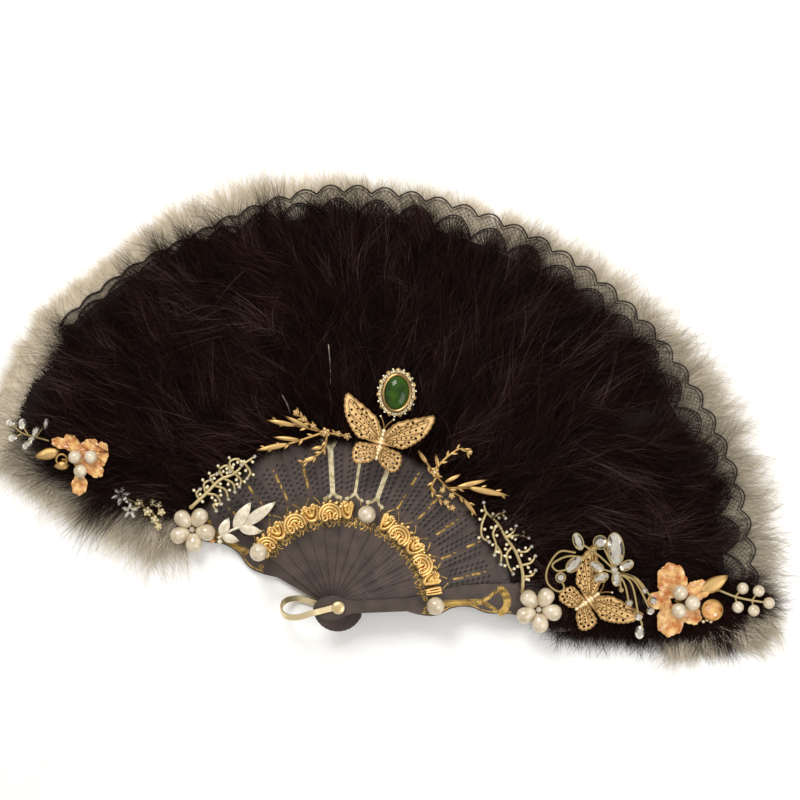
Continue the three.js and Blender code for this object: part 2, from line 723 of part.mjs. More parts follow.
// A foot from a stick's top face up to the middle of a rib.
function footOn(index, x, y, top) {
  return post(x, y, topside(index, Math.hypot(x, y)) + SEAT, top);
}

const RIB_SIDES = 4;

// A level wire through points of the plan; two points give a straight one.
function rib(points, height, radius) {
  const spans = points.length - 1;
  const steps = spans === 1 ? 1 : 2 * spans;
  return wire(points.map(([x, y]) => [x, y, height]), radius, steps, RIB_SIDES);
}

function planAngle(x, y) {
  return Math.atan2(y, x) + deg(SPRAY_TURN);
}

// Where a level piece rests on a feather row: the row's highest spot within a reach of the place.
function onFeathers(row, x, y, reach) {
  let highest = 0;
  for (const dx of [-reach, 0, reach]) {
    for (const dy of [-reach, 0, reach]) {
      const radius = THREE.MathUtils.clamp(Math.hypot(x + dx, y + dy), row.inner, row.outer);
      highest = Math.max(highest, featherTop(row, planAngle(x + dx, y + dy), radius));
    }
  }
  return highest + SEAT;
}

// A place on a feather row, at a share of the way across it and an angle in the sprays' axes.
function rowPlace(row, share, degrees) {
  const radius = row.inner + (row.outer - row.inner) * share;
  return [radius * Math.cos(deg(degrees)), radius * Math.sin(deg(degrees))];
}

function beside(place, offsets) {
  return offsets.map(([x, y]) => [place[0] + x, place[1] + y]);
}

const GUARD_TIP = [STICK_LENGTH, 0];
const rightBranchLevel = topside(LAST, LEAF_INNER) + SEAT;
const leftSprayLevel = LEFT_BRANCH_LEVEL + BRANCH_BEAD + LEVEL_GAP;
const rightSprayLevel = rightBranchLevel + BRANCH_BEAD + LEVEL_GAP;
const butterflyLevel = Math.max(leftSprayLevel, rightSprayLevel) + 2 * SPRAY_WIRE + LEVEL_GAP;

// Crystal branches: side twigs run from a numbered point of the stem to a small cut stone

function branch(stem, twigs, level) {
  const height = level + BRANCH_BEAD / 2;
  const pieces = [rib(stem, height, BRANCH_WIRE)];
  for (const [from, to] of twigs) {
    pieces.push(rib([stem[from], to], height, BRANCH_WIRE));
    pieces.push(gem(...to, height, BRANCH_BEAD, BRANCH_BEAD, 0));
  }
  return pieces;
}

const LEFT_BRANCH_STEM = [[-78.3, 52.8], [-66, 60.5], [-54, 69], [-46, 75], [-39.6, 79.2]];
const LEFT_BRANCH_TWIGS = [
  [1, [-70, 68]], [2, [-60, 75]], [3, [-50, 82]], [1, [-60, 57]], [2, [-50, 62.5]], [3, [-42, 71]],
];
const leftBranchFoot = LEFT_BRANCH_STEM[0];
const leftBranchSeat = leafTop(planAngle(...leftBranchFoot), Math.hypot(...leftBranchFoot)) + SEAT;
addOrnament("crystal_branch_left", [
  ...branch(LEFT_BRANCH_STEM, LEFT_BRANCH_TWIGS, LEFT_BRANCH_LEVEL),
  post(...leftBranchFoot, leftBranchSeat, LEFT_BRANCH_LEVEL + BRANCH_BEAD / 2),
], PALE_GOLD);

const RIGHT_BRANCH_STEM = [[94.6, 8.2], [97.5, 19], [93, 32], [85, 43], [76.7, 54.6]];
const RIGHT_BRANCH_TWIGS = [
  [1, [108, 26.5]], [2, [101.5, 35.5]], [3, [93, 49]], [1, [87, 23.5]], [2, [81, 34.5]], [3, [74, 45]],
];
addOrnament("crystal_branch_right", [
  ...branch(RIGHT_BRANCH_STEM, RIGHT_BRANCH_TWIGS, rightBranchLevel),
  footOn(LAST, ...RIGHT_BRANCH_STEM[0], rightBranchLevel + BRANCH_BEAD / 2),
], PALE_GOLD);

// Gold sprays beside the middle butterfly

const LEFT_SPRAY_STICK = 5;
const LEFT_SPRAY_FOOT = [-8, 83.6];
const LEFT_SPRAY_PRONGS = [
  [[5.5, 90.4], [-7.5, 92.6], [-23.5, 96.3], [-38, 99]],
  [[-10, 93.2], [-18.2, 99], [-22.5, 103.3]],
  [[-7.5, 92.6], [-26.2, 86.5], [-43, 83]],
  [[-6, 92.2], LEFT_SPRAY_FOOT, [-15, 78], [-20, 76]],
];
const RIGHT_SPRAY_STICK = 9;
const RIGHT_SPRAY_FOOT = [49.3, 63];
const RIGHT_SPRAY_PRONGS = [
  [[42.3, 82.9], [50, 72], [58, 63], [68, 56], [73.3, 48.2]],
  [[50, 72], [58, 80], [65, 84], [70, 81]],
  [[58, 63], [75, 63], [90.4, 58.9]],
  [[52, 69.5], RIGHT_SPRAY_FOOT, [54, 57], [59.4, 53.5]],
];

function spray(prongs, level, index, foot) {
  const height = level + SPRAY_WIRE;
  const pieces = prongs.map((points) => rib(points, height, SPRAY_WIRE));
  pieces.push(footOn(index, ...foot, height));
  return pieces;
}

addOrnament("gold_spray_left",
  spray(LEFT_SPRAY_PRONGS, leftSprayLevel, LEFT_SPRAY_STICK, LEFT_SPRAY_FOOT), GOLD);
addOrnament("gold_spray_right",
  spray(RIGHT_SPRAY_PRONGS, rightSprayLevel, RIGHT_SPRAY_STICK, RIGHT_SPRAY_FOOT), GOLD);

// Butterflies: the wings are drawn for a length of one and the body lies along y

const UPPER_WING = [[0.03, 0.12], [0.42, 0.62], [0.84, 0.66], [0.9, 0.42], [0.62, 0.1], [0.03, -0.04]];
const LOWER_WING = [[0.03, 0.02], [0.5, 0.02], [0.56, -0.28], [0.36, -0.5], [0.14, -0.42], [0.03, -0.1]];
const BODY_SHARE = 0.7; // body length for a wing of one

function wing(outline, length, side) {
  const points = outline.map(([x, y]) => new THREE.Vector2(x * length, y * length));
  const shape = new THREE.Shape();
  shape.moveTo(points[0].x, points[0].y);
  shape.splineThru(points.slice(1));
  const geometry = extrude(shape, WING_THICKNESS, 2);
  return side > 0 ? geometry : geometry.translate(0, 0, -WING_THICKNESS).rotateY(Math.PI);
}

function butterfly(length, rise, turn, x, y, level) {
  const pieces = [];
  for (const outline of [UPPER_WING, LOWER_WING]) {
    for (const side of [1, -1]) {
      pieces.push(wing(outline, length, side).rotateY(-side * deg(rise)));
    }
  }
  pieces.push(egg(0, 0, 0, length * BODY_SHARE, BODY_DIAMETER, BODY_DIAMETER, Math.PI / 2));
  return join(pieces).rotateZ(deg(turn)).translate(x, y, level + BODY_DIAMETER / 2);
}

const BUTTERFLY_STICK = 7;
const BUTTERFLY_PLACE = [22.8, 88.6];
const BUTTERFLY_FOOT = [25, 81.5];
const BUTTERFLY_TURN = -16;
const butterflyMiddle = butterflyLevel + BODY_DIAMETER / 2;
addOrnament("butterfly_middle", [
  butterfly(WING_LENGTH, WING_RISE, BUTTERFLY_TURN, ...BUTTERFLY_PLACE, butterflyLevel),
  rib([BUTTERFLY_PLACE, BUTTERFLY_FOOT], butterflyMiddle, SPRAY_WIRE),
  footOn(BUTTERFLY_STICK, ...BUTTERFLY_FOOT, butterflyMiddle),
], GOLD);

const SIDE_BUTTERFLY_PLACE = [132, 2.8];
const SIDE_BUTTERFLY_TURN = -55;
const sideButterflyLevel = topside(LAST, SIDE_BUTTERFLY_PLACE[0] - SIDE_WING_LENGTH / 2) + SEAT;
const sideButterflyMiddle = sideButterflyLevel + BODY_DIAMETER / 2;
addOrnament("butterfly_right", [
  butterfly(
    SIDE_WING_LENGTH, SIDE_WING_RISE, SIDE_BUTTERFLY_TURN, ...SIDE_BUTTERFLY_PLACE, sideButterflyLevel),
  footOn(LAST, ...SIDE_BUTTERFLY_PLACE, sideButterflyMiddle),
], GOLD);

// Oval stone in its setting, on the inner feather row

const STONE_PLACE = [30.8, 113.5];
const STONE_TURN = 85;
const DOME_PROFILE = [[0, 0], [0.5, 0], [0.5, 0.3], [0.4, 0.72], [0.2, 0.95], [0, 1]];
const DOME_SIDES = 12;

function ovalDome(length, width, height) {
  const profile = DOME_PROFILE.map(([x, y]) => new THREE.Vector2(x, y));
  return new THREE.LatheGeometry(profile, DOME_SIDES).rotateX(Math.PI / 2).scale(length, width, height);
}

const settingBase = onFeathers(FEATHER_ROWS[0], ...STONE_PLACE, STONE_WIDTH / 2);
const settingDome = ovalDome(STONE_LENGTH + 2 * SETTING_RIM, STONE_WIDTH + 2 * SETTING_RIM, SETTING_HEIGHT);
const seatCut = ovalDome(STONE_LENGTH + 2 * FIT, STONE_WIDTH + 2 * FIT, STONE_HEIGHT);
seatCut.translate(0, 0, SETTING_FLOOR);
const settingGeometry = toGeometry(toSolid(settingDome).subtract(toSolid(seatCut)));
settingGeometry.rotateZ(deg(STONE_TURN)).translate(...STONE_PLACE, settingBase);
addPiece("stone_setting", settingGeometry, GOLD, sprays);
const stoneGeometry = ovalDome(STONE_LENGTH, STONE_WIDTH, STONE_HEIGHT).rotateZ(deg(STONE_TURN));
stoneGeometry.translate(...STONE_PLACE, settingBase + SETTING_FLOOR + FIT);
addPiece("oval_stone", stoneGeometry, STONE, sprays);

// Pearl flowers: pear-shaped pearls round a small boss

const FLOWER_PETALS = 5;
const FLOWER_TURN = 60;

function aroundCentre(petals, first, reach, make) {
  const pieces = [];
  for (let petal = 0; petal < petals; petal += 1) {
    const angle = deg(first + (360 / petals) * petal);
    pieces.push(make(reach * Math.cos(angle), reach * Math.sin(angle), angle));
  }
  return pieces;
}

function pearlFlower(x, y, level, index) {
  const width = PETAL_PEARL_WIDTH;
  const height = level + width / 2;
  return [
    footOn(index, x, y, height),
    ball(x, y, height + width / 6, width / 3),
    ...aroundCentre(FLOWER_PETALS, FLOWER_TURN, PETAL_PEARL_RING, (dx, dy, angle) => (
      egg(x + dx, y + dy, height, PETAL_PEARL_LENGTH, width, width, angle))),
  ];
}

const flowerReach = PETAL_PEARL_RING + PETAL_PEARL_LENGTH / 2;
const RIGHT_FLOWER_PLACE = [106, -1.2];
const rightFlowerLevel = topside(LAST, RIGHT_FLOWER_PLACE[0] - flowerReach) + SEAT;
addOrnament("pearl_flower_right", pearlFlower(...RIGHT_FLOWER_PLACE, rightFlowerLevel, LAST), PEARL);
const LEFT_FLOWER_PLACE = [-78, 40.8];
const leftFlowerLevel = topside(1, SHOULDER_LENGTH) + SEAT + LEVEL_GAP;
addOrnament("pearl_flower_left", pearlFlower(...LEFT_FLOWER_PLACE, leftFlowerLevel, 0), PEARL);

// Silver leaf spray and the small bead beside it

const LEAF_SPRAY_STEM = [[-64.2, 36.2], [-59.5, 39.2], [-53, 42], [-49.5, 43]];
const SPRAY_LEAVES = [
  [[-56, 41], [-46.8, 55.4]], [[-51, 42.6], [-33.5, 55.5]], [[-53.5, 41.8], [-40.8, 39.4]],
  [[-63, 37], [-58.5, 47]], [[-62.5, 37.3], [-53, 34.6]],
];
const BEAD_PLACE = [-67.6, 34.9];

const leafSprayMiddle = LEAF_SPRAY_LEVEL + BRANCH_WIRE;
addOrnament("silver_leaf_spray", [
  ...SPRAY_LEAVES.map(([from, to]) => (
    blade(from, to, LEAF_SPRAY_WIDTH, LEAF_SPRAY_LEVEL, LEAF_SPRAY_THICKNESS))),
  rib(LEAF_SPRAY_STEM, leafSprayMiddle, BRANCH_WIRE),
  footOn(0, ...LEAF_SPRAY_STEM[0], leafSprayMiddle),
], SILVER);
const beadMiddle = topside(0, Math.hypot(...BEAD_PLACE)) + SEAT + BEAD_DIAMETER / 2;
addPiece("small_bead", ball(...BEAD_PLACE, beadMiddle, BEAD_DIAMETER / 2), AMBER, sprays);

// Crystal sprays: fine wires that end in long or short cut stones

function crystals(wires, longStones, shortStones, height) {
  return [
    ...wires.map((points) => rib(points, height, CRYSTAL_WIRE)),
    ...longStones.map(([x, y, turn]) => gem(x, y, height, CRYSTAL_LENGTH, CRYSTAL_WIDTH, deg(turn))),
    ...shortStones.map(([x, y]) => gem(x, y, height, CRYSTAL_WIDTH, CRYSTAL_WIDTH, 0)),
  ];
}

const CRYSTAL_FOOT = [149.7, 9.2];
const CRYSTAL_WIRES = [
  [CRYSTAL_FOOT, [146, 20], [139.1, 34.8]],
  [[146, 20], [137, 28], [126.8, 34.8]],
  [[148.2, 14], [136.4, 22.5], [124.7, 21.4], [117.2, 16]],
  [CRYSTAL_FOOT, [156, 8], [161, 1], [159.4, -13.9]],
  [[146, 20], [146.6, 30.5]],
];
const LONG_CRYSTALS = [[146.6, 30.5, 100], [126.8, 34.8, 140], [124.7, 21.4, 180], [159.4, -13.9, 90]];
const SHORT_CRYSTALS = [[139.1, 34.8], [136.4, 22.5], [117.2, 16]];
const wingTipRise = SIDE_WING_LENGTH * Math.sin(deg(SIDE_WING_RISE)) + WING_THICKNESS;
const crystalMiddle = sideButterflyMiddle + wingTipRise + CRYSTAL_WIDTH / 2 + LEVEL_GAP;
addOrnament("crystal_spray_right", [
  ...crystals(CRYSTAL_WIRES, LONG_CRYSTALS, SHORT_CRYSTALS, crystalMiddle),
  footOn(LAST, ...CRYSTAL_FOOT, crystalMiddle),
], CRYSTAL);

const LEFT_SPRIG_PLACE = rowPlace(FEATHER_ROWS[0], 0.577, 153.6);
const LEFT_SPRIG_TIPS = beside(LEFT_SPRIG_PLACE, [[11.4, -7.3], [-11.6, 7.7], [-10.6, -6.3], [5.4, 7.7]]);
const [SPRIG_START, SPRIG_END, SPRIG_LOW, SPRIG_HIGH] = LEFT_SPRIG_TIPS;
const LEFT_SPRIG_WIRES = [
  [SPRIG_START, LEFT_SPRIG_PLACE, SPRIG_END], [LEFT_SPRIG_PLACE, SPRIG_LOW], [LEFT_SPRIG_PLACE, SPRIG_HIGH],
];
const LEFT_SPRIG_LONG = [[...SPRIG_END, 150], [...SPRIG_LOW, 30], [...SPRIG_HIGH, 60]];
const LEFT_SPRIG_SHORT = [SPRIG_START, LEFT_SPRIG_PLACE];
const leftSprigMiddle = onFeathers(FEATHER_ROWS[0], ...LEFT_SPRIG_PLACE, CRYSTAL_LENGTH) + CRYSTAL_WIDTH / 2;
addOrnament("crystal_sprig_left",
  crystals(LEFT_SPRIG_WIRES, LEFT_SPRIG_LONG, LEFT_SPRIG_SHORT, leftSprigMiddle), CRYSTAL);

// Amber flowers: petals round a pearl, with a gold leaf

function bloom(x, y, height, first) {
  return [
    ball(x, y, height + PETAL_THICKNESS / 2, SPRIG_PEARL / 2),
    ...aroundCentre(FLOWER_PETALS, first, PETAL_LENGTH / 2, (dx, dy, angle) => (
      egg(x + dx, y + dy, height, PETAL_LENGTH, PETAL_WIDTH, PETAL_THICKNESS, angle))),
  ];
}

function bloomLeaf(from, to, middle) {
  return blade(from, to, BLOOM_LEAF_WIDTH, middle - LEAF_SPRAY_THICKNESS / 2, LEAF_SPRAY_THICKNESS);
}

const [RIGHT_BLOOM, RIGHT_BLOOM_BUD] = beside(GUARD_TIP, [[-26, 3], [-10, 0.5]]);
const RIGHT_BLOOM_TURN = 65;
const RIGHT_BLOOM_LEAF = beside(GUARD_TIP, [[-20, 6], [-5, 15]]);
const rightBloomMiddle = topside(LAST, RIGHT_BLOOM[0] - PETAL_LENGTH) + SEAT + PETAL_THICKNESS / 2;
addOrnament("amber_flower_right", [
  ...bloom(...RIGHT_BLOOM, rightBloomMiddle, RIGHT_BLOOM_TURN),
  rib([RIGHT_BLOOM, RIGHT_BLOOM_BUD], rightBloomMiddle, BRANCH_WIRE),
  ball(...RIGHT_BLOOM_BUD, rightBloomMiddle, SPRIG_PEARL / 2),
  bloomLeaf(...RIGHT_BLOOM_LEAF, rightBloomMiddle),
  footOn(LAST, ...RIGHT_BLOOM, rightBloomMiddle),
], AMBER);

const LEFT_BLOOM = rowPlace(FEATHER_ROWS[1], 0.56, 150.8);
const LEFT_BLOOM_TURN = 20;
const LEFT_BLOOM_LEAF = beside(LEFT_BLOOM, [[-5.8, 2], [-22.8, 8]]);
const leftBloomSeat = onFeathers(FEATHER_ROWS[1], ...LEFT_BLOOM, PETAL_WIDTH / 2) - BLOOM_SINK;
const leftBloomMiddle = leftBloomSeat + PETAL_THICKNESS / 2;
addOrnament("amber_flower_left", [
  ...bloom(...LEFT_BLOOM, leftBloomMiddle, LEFT_BLOOM_TURN),
  bloomLeaf(...LEFT_BLOOM_LEAF, leftBloomMiddle),
], AMBER);

// Far sprig, past the left flower's leaf

const [FAR_SPRIG_PLACE] = beside(LEFT_BLOOM, [[-33.8, 15.8]]);
const [FAR_START, FAR_END, FAR_HIGH] = beside(FAR_SPRIG_PLACE, [[8, -6.8], [-9, 5.2], [2, 9.2]]);
const FAR_SPRIG_WIRES = [[FAR_START, FAR_SPRIG_PLACE, FAR_END], [FAR_SPRIG_PLACE, FAR_HIGH]];
const FAR_SPRIG_LONG = [[...FAR_START, 40], [...FAR_END, 145], [...FAR_HIGH, 80]];
const farSprigMiddle = onFeathers(FEATHER_ROWS[2], ...FAR_SPRIG_PLACE, CRYSTAL_LENGTH) + CRYSTAL_WIDTH / 2;
addOrnament("crystal_sprig_far_left",
  crystals(FAR_SPRIG_WIRES, FAR_SPRIG_LONG, [], farSprigMiddle), CRYSTAL);

// Pearl sprig past the end of the front guard

const SPRIG_STEM = beside(GUARD_TIP, [[-4, 8.6], [5, 5], [14, 3], [23, 1.6]]);
const SPRIG_PEARLS = beside(GUARD_TIP, [[9.1, 9.4], [17.6, 8], [6.5, -0.6], [15, -2.4], [23, 1.6]]);
const sprigMiddle = topside(LAST, STICK_LENGTH - PETAL_LENGTH) + SEAT + SPRIG_PEARL / 2;
const sprigPieces = [
  rib(SPRIG_STEM, sprigMiddle, BRANCH_WIRE),
  footOn(LAST, ...SPRIG_STEM[0], sprigMiddle),
];
for (const pearl of SPRIG_PEARLS) {
  const nearest = pearl[0] < SPRIG_STEM[2][0] ? SPRIG_STEM[1] : SPRIG_STEM[2];
  sprigPieces.push(rib([nearest, pearl], sprigMiddle, BRANCH_WIRE));
  sprigPieces.push(ball(...pearl, sprigMiddle, SPRIG_PEARL / 2));
}
addOrnament("pearl_sprig_right", sprigPieces, PEARL);

export default fan;
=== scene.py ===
# %% [markdown]
# # A feather folding fan
# The fan lies open on its back. Fourteen plastic sticks turn on one rivet, a pleated cloth leaf joins their
# outer halves, and downy feathers, lace and small cast ornaments cover the leaf. The imported model gives the
# solids and the joints. This script dresses them: every new piece rides on the stick that carries it, except
# the panels of leaf and lace between the sticks.

# %% Load the imported frame
import math
import bpy
import numpy as np
from mathutils import Matrix, Vector


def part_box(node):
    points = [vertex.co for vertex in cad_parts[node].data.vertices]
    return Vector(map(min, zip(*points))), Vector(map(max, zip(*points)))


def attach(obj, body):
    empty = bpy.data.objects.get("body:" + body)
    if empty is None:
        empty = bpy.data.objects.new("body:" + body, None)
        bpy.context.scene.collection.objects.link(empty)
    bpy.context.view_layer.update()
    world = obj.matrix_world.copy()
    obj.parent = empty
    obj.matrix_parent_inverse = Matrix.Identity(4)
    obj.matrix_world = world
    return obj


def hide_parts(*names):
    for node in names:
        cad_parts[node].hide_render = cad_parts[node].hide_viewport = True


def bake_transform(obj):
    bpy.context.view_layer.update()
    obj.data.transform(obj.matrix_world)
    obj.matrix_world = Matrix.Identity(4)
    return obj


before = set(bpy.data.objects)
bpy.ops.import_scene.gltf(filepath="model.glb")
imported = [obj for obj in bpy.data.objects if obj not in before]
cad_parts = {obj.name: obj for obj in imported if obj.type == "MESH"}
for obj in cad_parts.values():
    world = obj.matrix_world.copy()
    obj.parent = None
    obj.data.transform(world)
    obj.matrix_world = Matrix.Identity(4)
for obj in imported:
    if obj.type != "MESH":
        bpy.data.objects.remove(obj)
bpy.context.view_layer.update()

# %% [markdown]
# ## Where the sticks lie
# Lengths are in millimetres and become metres only when a mesh is made. Each stick slopes from its layer in
# the stack at the rivet down to the table at its tip, so a height depends on the stick and on the distance
# from the rivet. What sits on a stick asks these few functions and keeps the small gap `SEAT` above it.

# %% Stick layout
MM = 0.001
LAST = 13
OPEN_ANGLE = 148.0
STICK_LENGTH = 206.0
STICK_THICKNESS = 0.5
GUARD_THICKNESS = 1.4
BACK_BASE = 2.3
BACK_GAP = 1.3
LAYER_GAP = 0.65
TIP_HEIGHT = 0.2
FRONT_TIP_HEIGHT = 1.9
SEAT = 0.3
PITCH = math.radians(OPEN_ANGLE / LAST)


def stick_angle(index):
    return math.radians(90 + OPEN_ANGLE / 2) - PITCH * index


def stick_thickness(index):
    return GUARD_THICKNESS if index in (0, LAST) else STICK_THICKNESS


def base_height(index):
    if index == 0:
        return BACK_BASE
    first = BACK_BASE + GUARD_THICKNESS + BACK_GAP
    return first + (index - 1) * (STICK_THICKNESS + LAYER_GAP)


def tip_height(index):
    return FRONT_TIP_HEIGHT if index == LAST else TIP_HEIGHT


def underside(index, radius):
    share = min(radius / STICK_LENGTH, 1)
    return base_height(index) + (tip_height(index) - base_height(index)) * share


def topside(index, radius):
    return underside(index, radius) + stick_thickness(index)


def stick_matrix(index):
    """From a stick's own axes, with x out along it, to the frame's."""
    slope = math.atan2(base_height(index) - tip_height(index), STICK_LENGTH)
    turn = Matrix.Rotation(stick_angle(index), 4, "Z") @ Matrix.Rotation(slope, 4, "Y")
    return np.array(Matrix.Translation((0, 0, base_height(index))) @ turn)


def stick_body(index):
    if index == 0:
        return "back_guard"
    return "front_guard" if index == LAST else f"stick_{index:02d}"


print("stack height at the rivet:", round(base_height(LAST) + GUARD_THICKNESS, 2), "mm")

# %% [markdown]
# ## Camera and lamps
# The photograph looks straight down on the fan, turned a little, so the camera hangs over it and rolls by
# the same angle. A long lens keeps the outline true. Two broad lamps give soft light with enough contrast
# for the metal.

# %% Camera and lamps
PHOTO_TURN = math.radians(14)
FRAME_WIDTH = 428.0
FRAME_MIDDLE = (32.6, 109.7)
CAMERA_HEIGHT = 1600.0
LAMP_AIM = (0, 0.11, 0)


def linear(code):
    channels = [int(code[i:i + 2], 16) / 255 for i in (1, 3, 5)]
    return [c / 12.92 if c <= 0.04045 else ((c + 0.055) / 1.055) ** 2.4 for c in channels] + [1.0]


def turned(x, y):
    return (
        x * math.cos(PHOTO_TURN) - y * math.sin(PHOTO_TURN),
        x * math.sin(PHOTO_TURN) + y * math.cos(PHOTO_TURN),
    )


scene = bpy.context.scene
scene.view_settings.view_transform = "Standard"
lens = bpy.data.cameras.new("camera")
lens.sensor_width = 36
lens.lens = lens.sensor_width * CAMERA_HEIGHT / FRAME_WIDTH
camera = bpy.data.objects.new("camera", lens)
scene.collection.objects.link(camera)
middle = turned(*FRAME_MIDDLE)
camera.location = (middle[0] * MM, middle[1] * MM, CAMERA_HEIGHT * MM)
camera.rotation_euler = (0, 0, PHOTO_TURN)
scene.camera = camera


def add_lamp(name, place, size, power):
    lamp = bpy.data.lights.new(name, "AREA")
    lamp.size = size
    lamp.energy = power
    holder = bpy.data.objects.new(name, lamp)
    holder.location = place
    holder.rotation_euler = (Vector(LAMP_AIM) - Vector(place)).to_track_quat("-Z", "Y").to_euler()
    scene.collection.objects.link(holder)


add_lamp("key_lamp", (-0.5, 0.75, 0.95), 0.5, 10)
add_lamp("fill_lamp", (0.75, -0.1, 0.8), 0.7, 5)
print("lens:", round(lens.lens, 1), "mm")

# %% [markdown]
# ## Materials
# A few small functions add a shader node, set its values and link it. A colour is written as the hex value
# that a colour picker would show on the object, and a pattern's scale is one over its real size. Most
# materials are `mottled`: the colour and the roughness drift together over patches of a real size.

# %% Material helper
def add_node(tree, kind, links=(), **settings):
    node = tree.nodes.new(kind)
    for key, value in settings.items():
        setattr(node, key, value)
    for target, source in links:
        tree.links.new(source, node.inputs[target])
    return node


def set_inputs(node, values):
    for socket, value in values.items():
        node.inputs[socket].default_value = value


def new_material(name):
    material = bpy.data.materials.new(name)
    material.use_nodes = True
    tree = material.node_tree
    add_node(tree, "ShaderNodeTexCoord").name = "place"
    return material, tree, tree.nodes["Principled BSDF"]


def patches(tree, size_mm, detail=4.0):
    """A noise with patches of a real size."""
    noise = add_node(tree, "ShaderNodeTexNoise", [("Vector", tree.nodes["place"].outputs["Object"])])
    set_inputs(noise, {"Scale": 1 / (size_mm * MM), "Detail": detail})
    return noise.outputs["Fac"]


def tint(tree, shader, source, first, last, *between):
    """Colours the shader along a value. Each stop is a position and a colour."""
    node = add_node(tree, "ShaderNodeValToRGB", [("Fac", source)])
    for element, (position, code) in zip(node.color_ramp.elements, (first, last)):
        element.position = position
        element.color = linear(code)
    for position, code in between:
        node.color_ramp.elements.new(position).color = linear(code)
    tree.links.new(node.outputs["Color"], shader.inputs["Base Color"])


def bump(tree, shader, height, depth_mm, strength=0.4):
    node = add_node(tree, "ShaderNodeBump", [("Height", height)])
    set_inputs(node, {"Strength": strength, "Distance": depth_mm * MM})
    tree.links.new(node.outputs["Normal"], shader.inputs["Normal"])


def roughness_from(tree, shader, height, low, high):
    node = add_node(tree, "ShaderNodeMapRange", [("Value", height)])
    set_inputs(node, {"To Min": low, "To Max": high})
    tree.links.new(node.outputs["Result"], shader.inputs["Roughness"])


def mottled(name, size_mm, dark, pale, roughness, sockets, dents=None, detail=4.0):
    material, tree, shader = new_material(name)
    drift = patches(tree, size_mm, detail)
    tint(tree, shader, drift, (0.35, dark), (0.65, pale))
    roughness_from(tree, shader, drift, *roughness)
    if dents:
        bump(tree, shader, drift, *dents)
    set_inputs(shader, sockets)
    return material


print("material helpers ready")

# %% [markdown]
# The sticks are moulded polystyrene, dyed a dark taupe. The mould leaves a satin skin, and a fine bump breaks
# the highlight. The same plastic, made near black, fills the bottom of each small hole as painted shade, and a
# bare quill has the same sheen.

# %% Moulded stick plastic
def moulded_polystyrene(name, dark, pale):
    material = mottled(name, 9, dark, pale, (0.34, 0.5), {"IOR": 1.55, "Specular IOR Level": 0.4})
    tree = material.node_tree
    bump(tree, tree.nodes["Principled BSDF"], patches(tree, 0.7), 0.05)
    return material


PLASTIC = moulded_polystyrene("moulded_polystyrene", "#372a24", "#4c3c34")
# Near-black plastic for the discs in the holes: painted shade.
PAINTED_HOLE_SHADE = moulded_polystyrene("painted_shade_in_holes", "#0b0807", "#17110f")
QUILL = moulded_polystyrene("bare_feather_quill", "#9b8d7e", "#cfc4b4")
print("stick plastic made")

# %% [markdown]
# The castings are zinc with a bright gold plate. The colour follows how sharp the surface is. The hollows get
# painted shade and the ridges a painted highlight, and fine pits roughen it. The sprays are brass, the
# butterflies are darker stamped brass edged with bright wire, and the rivet, the setting and the branches carry
# paler plates. The foil prints are flat and a little matt.

# %% Gold plate and foil
def gold_plate(name, hollow_shade, face, ridge, roughness, metallic=1.0):
    material, tree, shader = new_material(name)
    edges = add_node(tree, "ShaderNodeNewGeometry")
    # Painted shade in the hollows and a painted highlight on the ridges, from how sharp the surface is.
    tint(tree, shader, edges.outputs["Pointiness"], (0.42, hollow_shade), (0.6, ridge), (0.5, face))
    pits = patches(tree, 0.9)
    roughness_from(tree, shader, pits, *roughness)
    bump(tree, shader, pits, 0.08, 0.3)
    set_inputs(shader, {"Metallic": metallic})
    return material


GOLD = gold_plate("gold_plated_zinc", "#7a5220", "#d9ad60", "#f8e2b0", (0.34, 0.5))
BRASS = gold_plate("gold_plated_brass", "#86632f", "#dcb87c", "#f3dfb4", (0.4, 0.55), 0.8)
STAMPED = gold_plate("stamped_brass", "#4a3216", "#ad854c", "#dcb880", (0.45, 0.6), 0.85)
WIRE = gold_plate("gold_plated_wire", "#977340", "#f0d5a0", "#fbecc8", (0.35, 0.5), 0.45)
PALE_GOLD = gold_plate("pale_gold_plated_brass", "#86643a", "#d8bd86", "#f3e4bd", (0.3, 0.45))
CREAM_GOLD = gold_plate("cream_plated_wire", "#a8925f", "#dfcfa3", "#ebdfbd", (0.35, 0.5), 0.35)
FOIL = mottled("stamped_gold_foil", 2.4, "#6b5222", "#cfa95a", (0.5, 0.32), {"Metallic": 0.7})
CREAM_FOIL = mottled("stamped_cream_foil", 2.4, "#a39268", "#e8dcb8", (0.5, 0.32), {"Metallic": 0.7})
print("metals made")

# %% [markdown]
# The pearls are plastic beads dipped in pearl lacquer: a milky body under a clear glossy skin. The leaves
# of the silver spray are white enamel over metal with a fine grain. The oval stone is dark green
# chalcedony, cut smooth and polished. The small stones are glass with a foil back, so they mirror more than
# they let through. The flower petals are cast amber resin.

# %% Pearl, enamel, stone, crystal and resin
PEARL = mottled(
    "pearl_lacquer", 5, "#bca98a", "#dccdb3", (0.2, 0.32),
    {"IOR": 1.53, "Coat Weight": 0.7, "Coat Roughness": 0.06, "Specular IOR Level": 0.6}, detail=2.0)
ENAMEL = mottled("white_enamel", 2.5, "#c8bba2", "#e4d9c3", (0.3, 0.5), {"Metallic": 0.15}, (0.08,))
STONE = mottled(
    "green_chalcedony", 6, "#1c3604", "#345309", (0.05, 0.12), {"IOR": 1.54, "Specular IOR Level": 0.25})
CRYSTAL = mottled(
    "foiled_glass", 3, "#cfc8bb", "#ece6da", (0.03, 0.1), {"Metallic": 0.85, "IOR": 1.6, "Coat Weight": 0.5})
AMBER = mottled(
    "amber_resin", 4, "#bb6420", "#f3bd76", (0.15, 0.35),
    {"IOR": 1.54, "Subsurface Weight": 0.15, "Coat Weight": 0.4}, (0.6, 0.6))
print("pearl, enamel, stone, crystal and resin made")

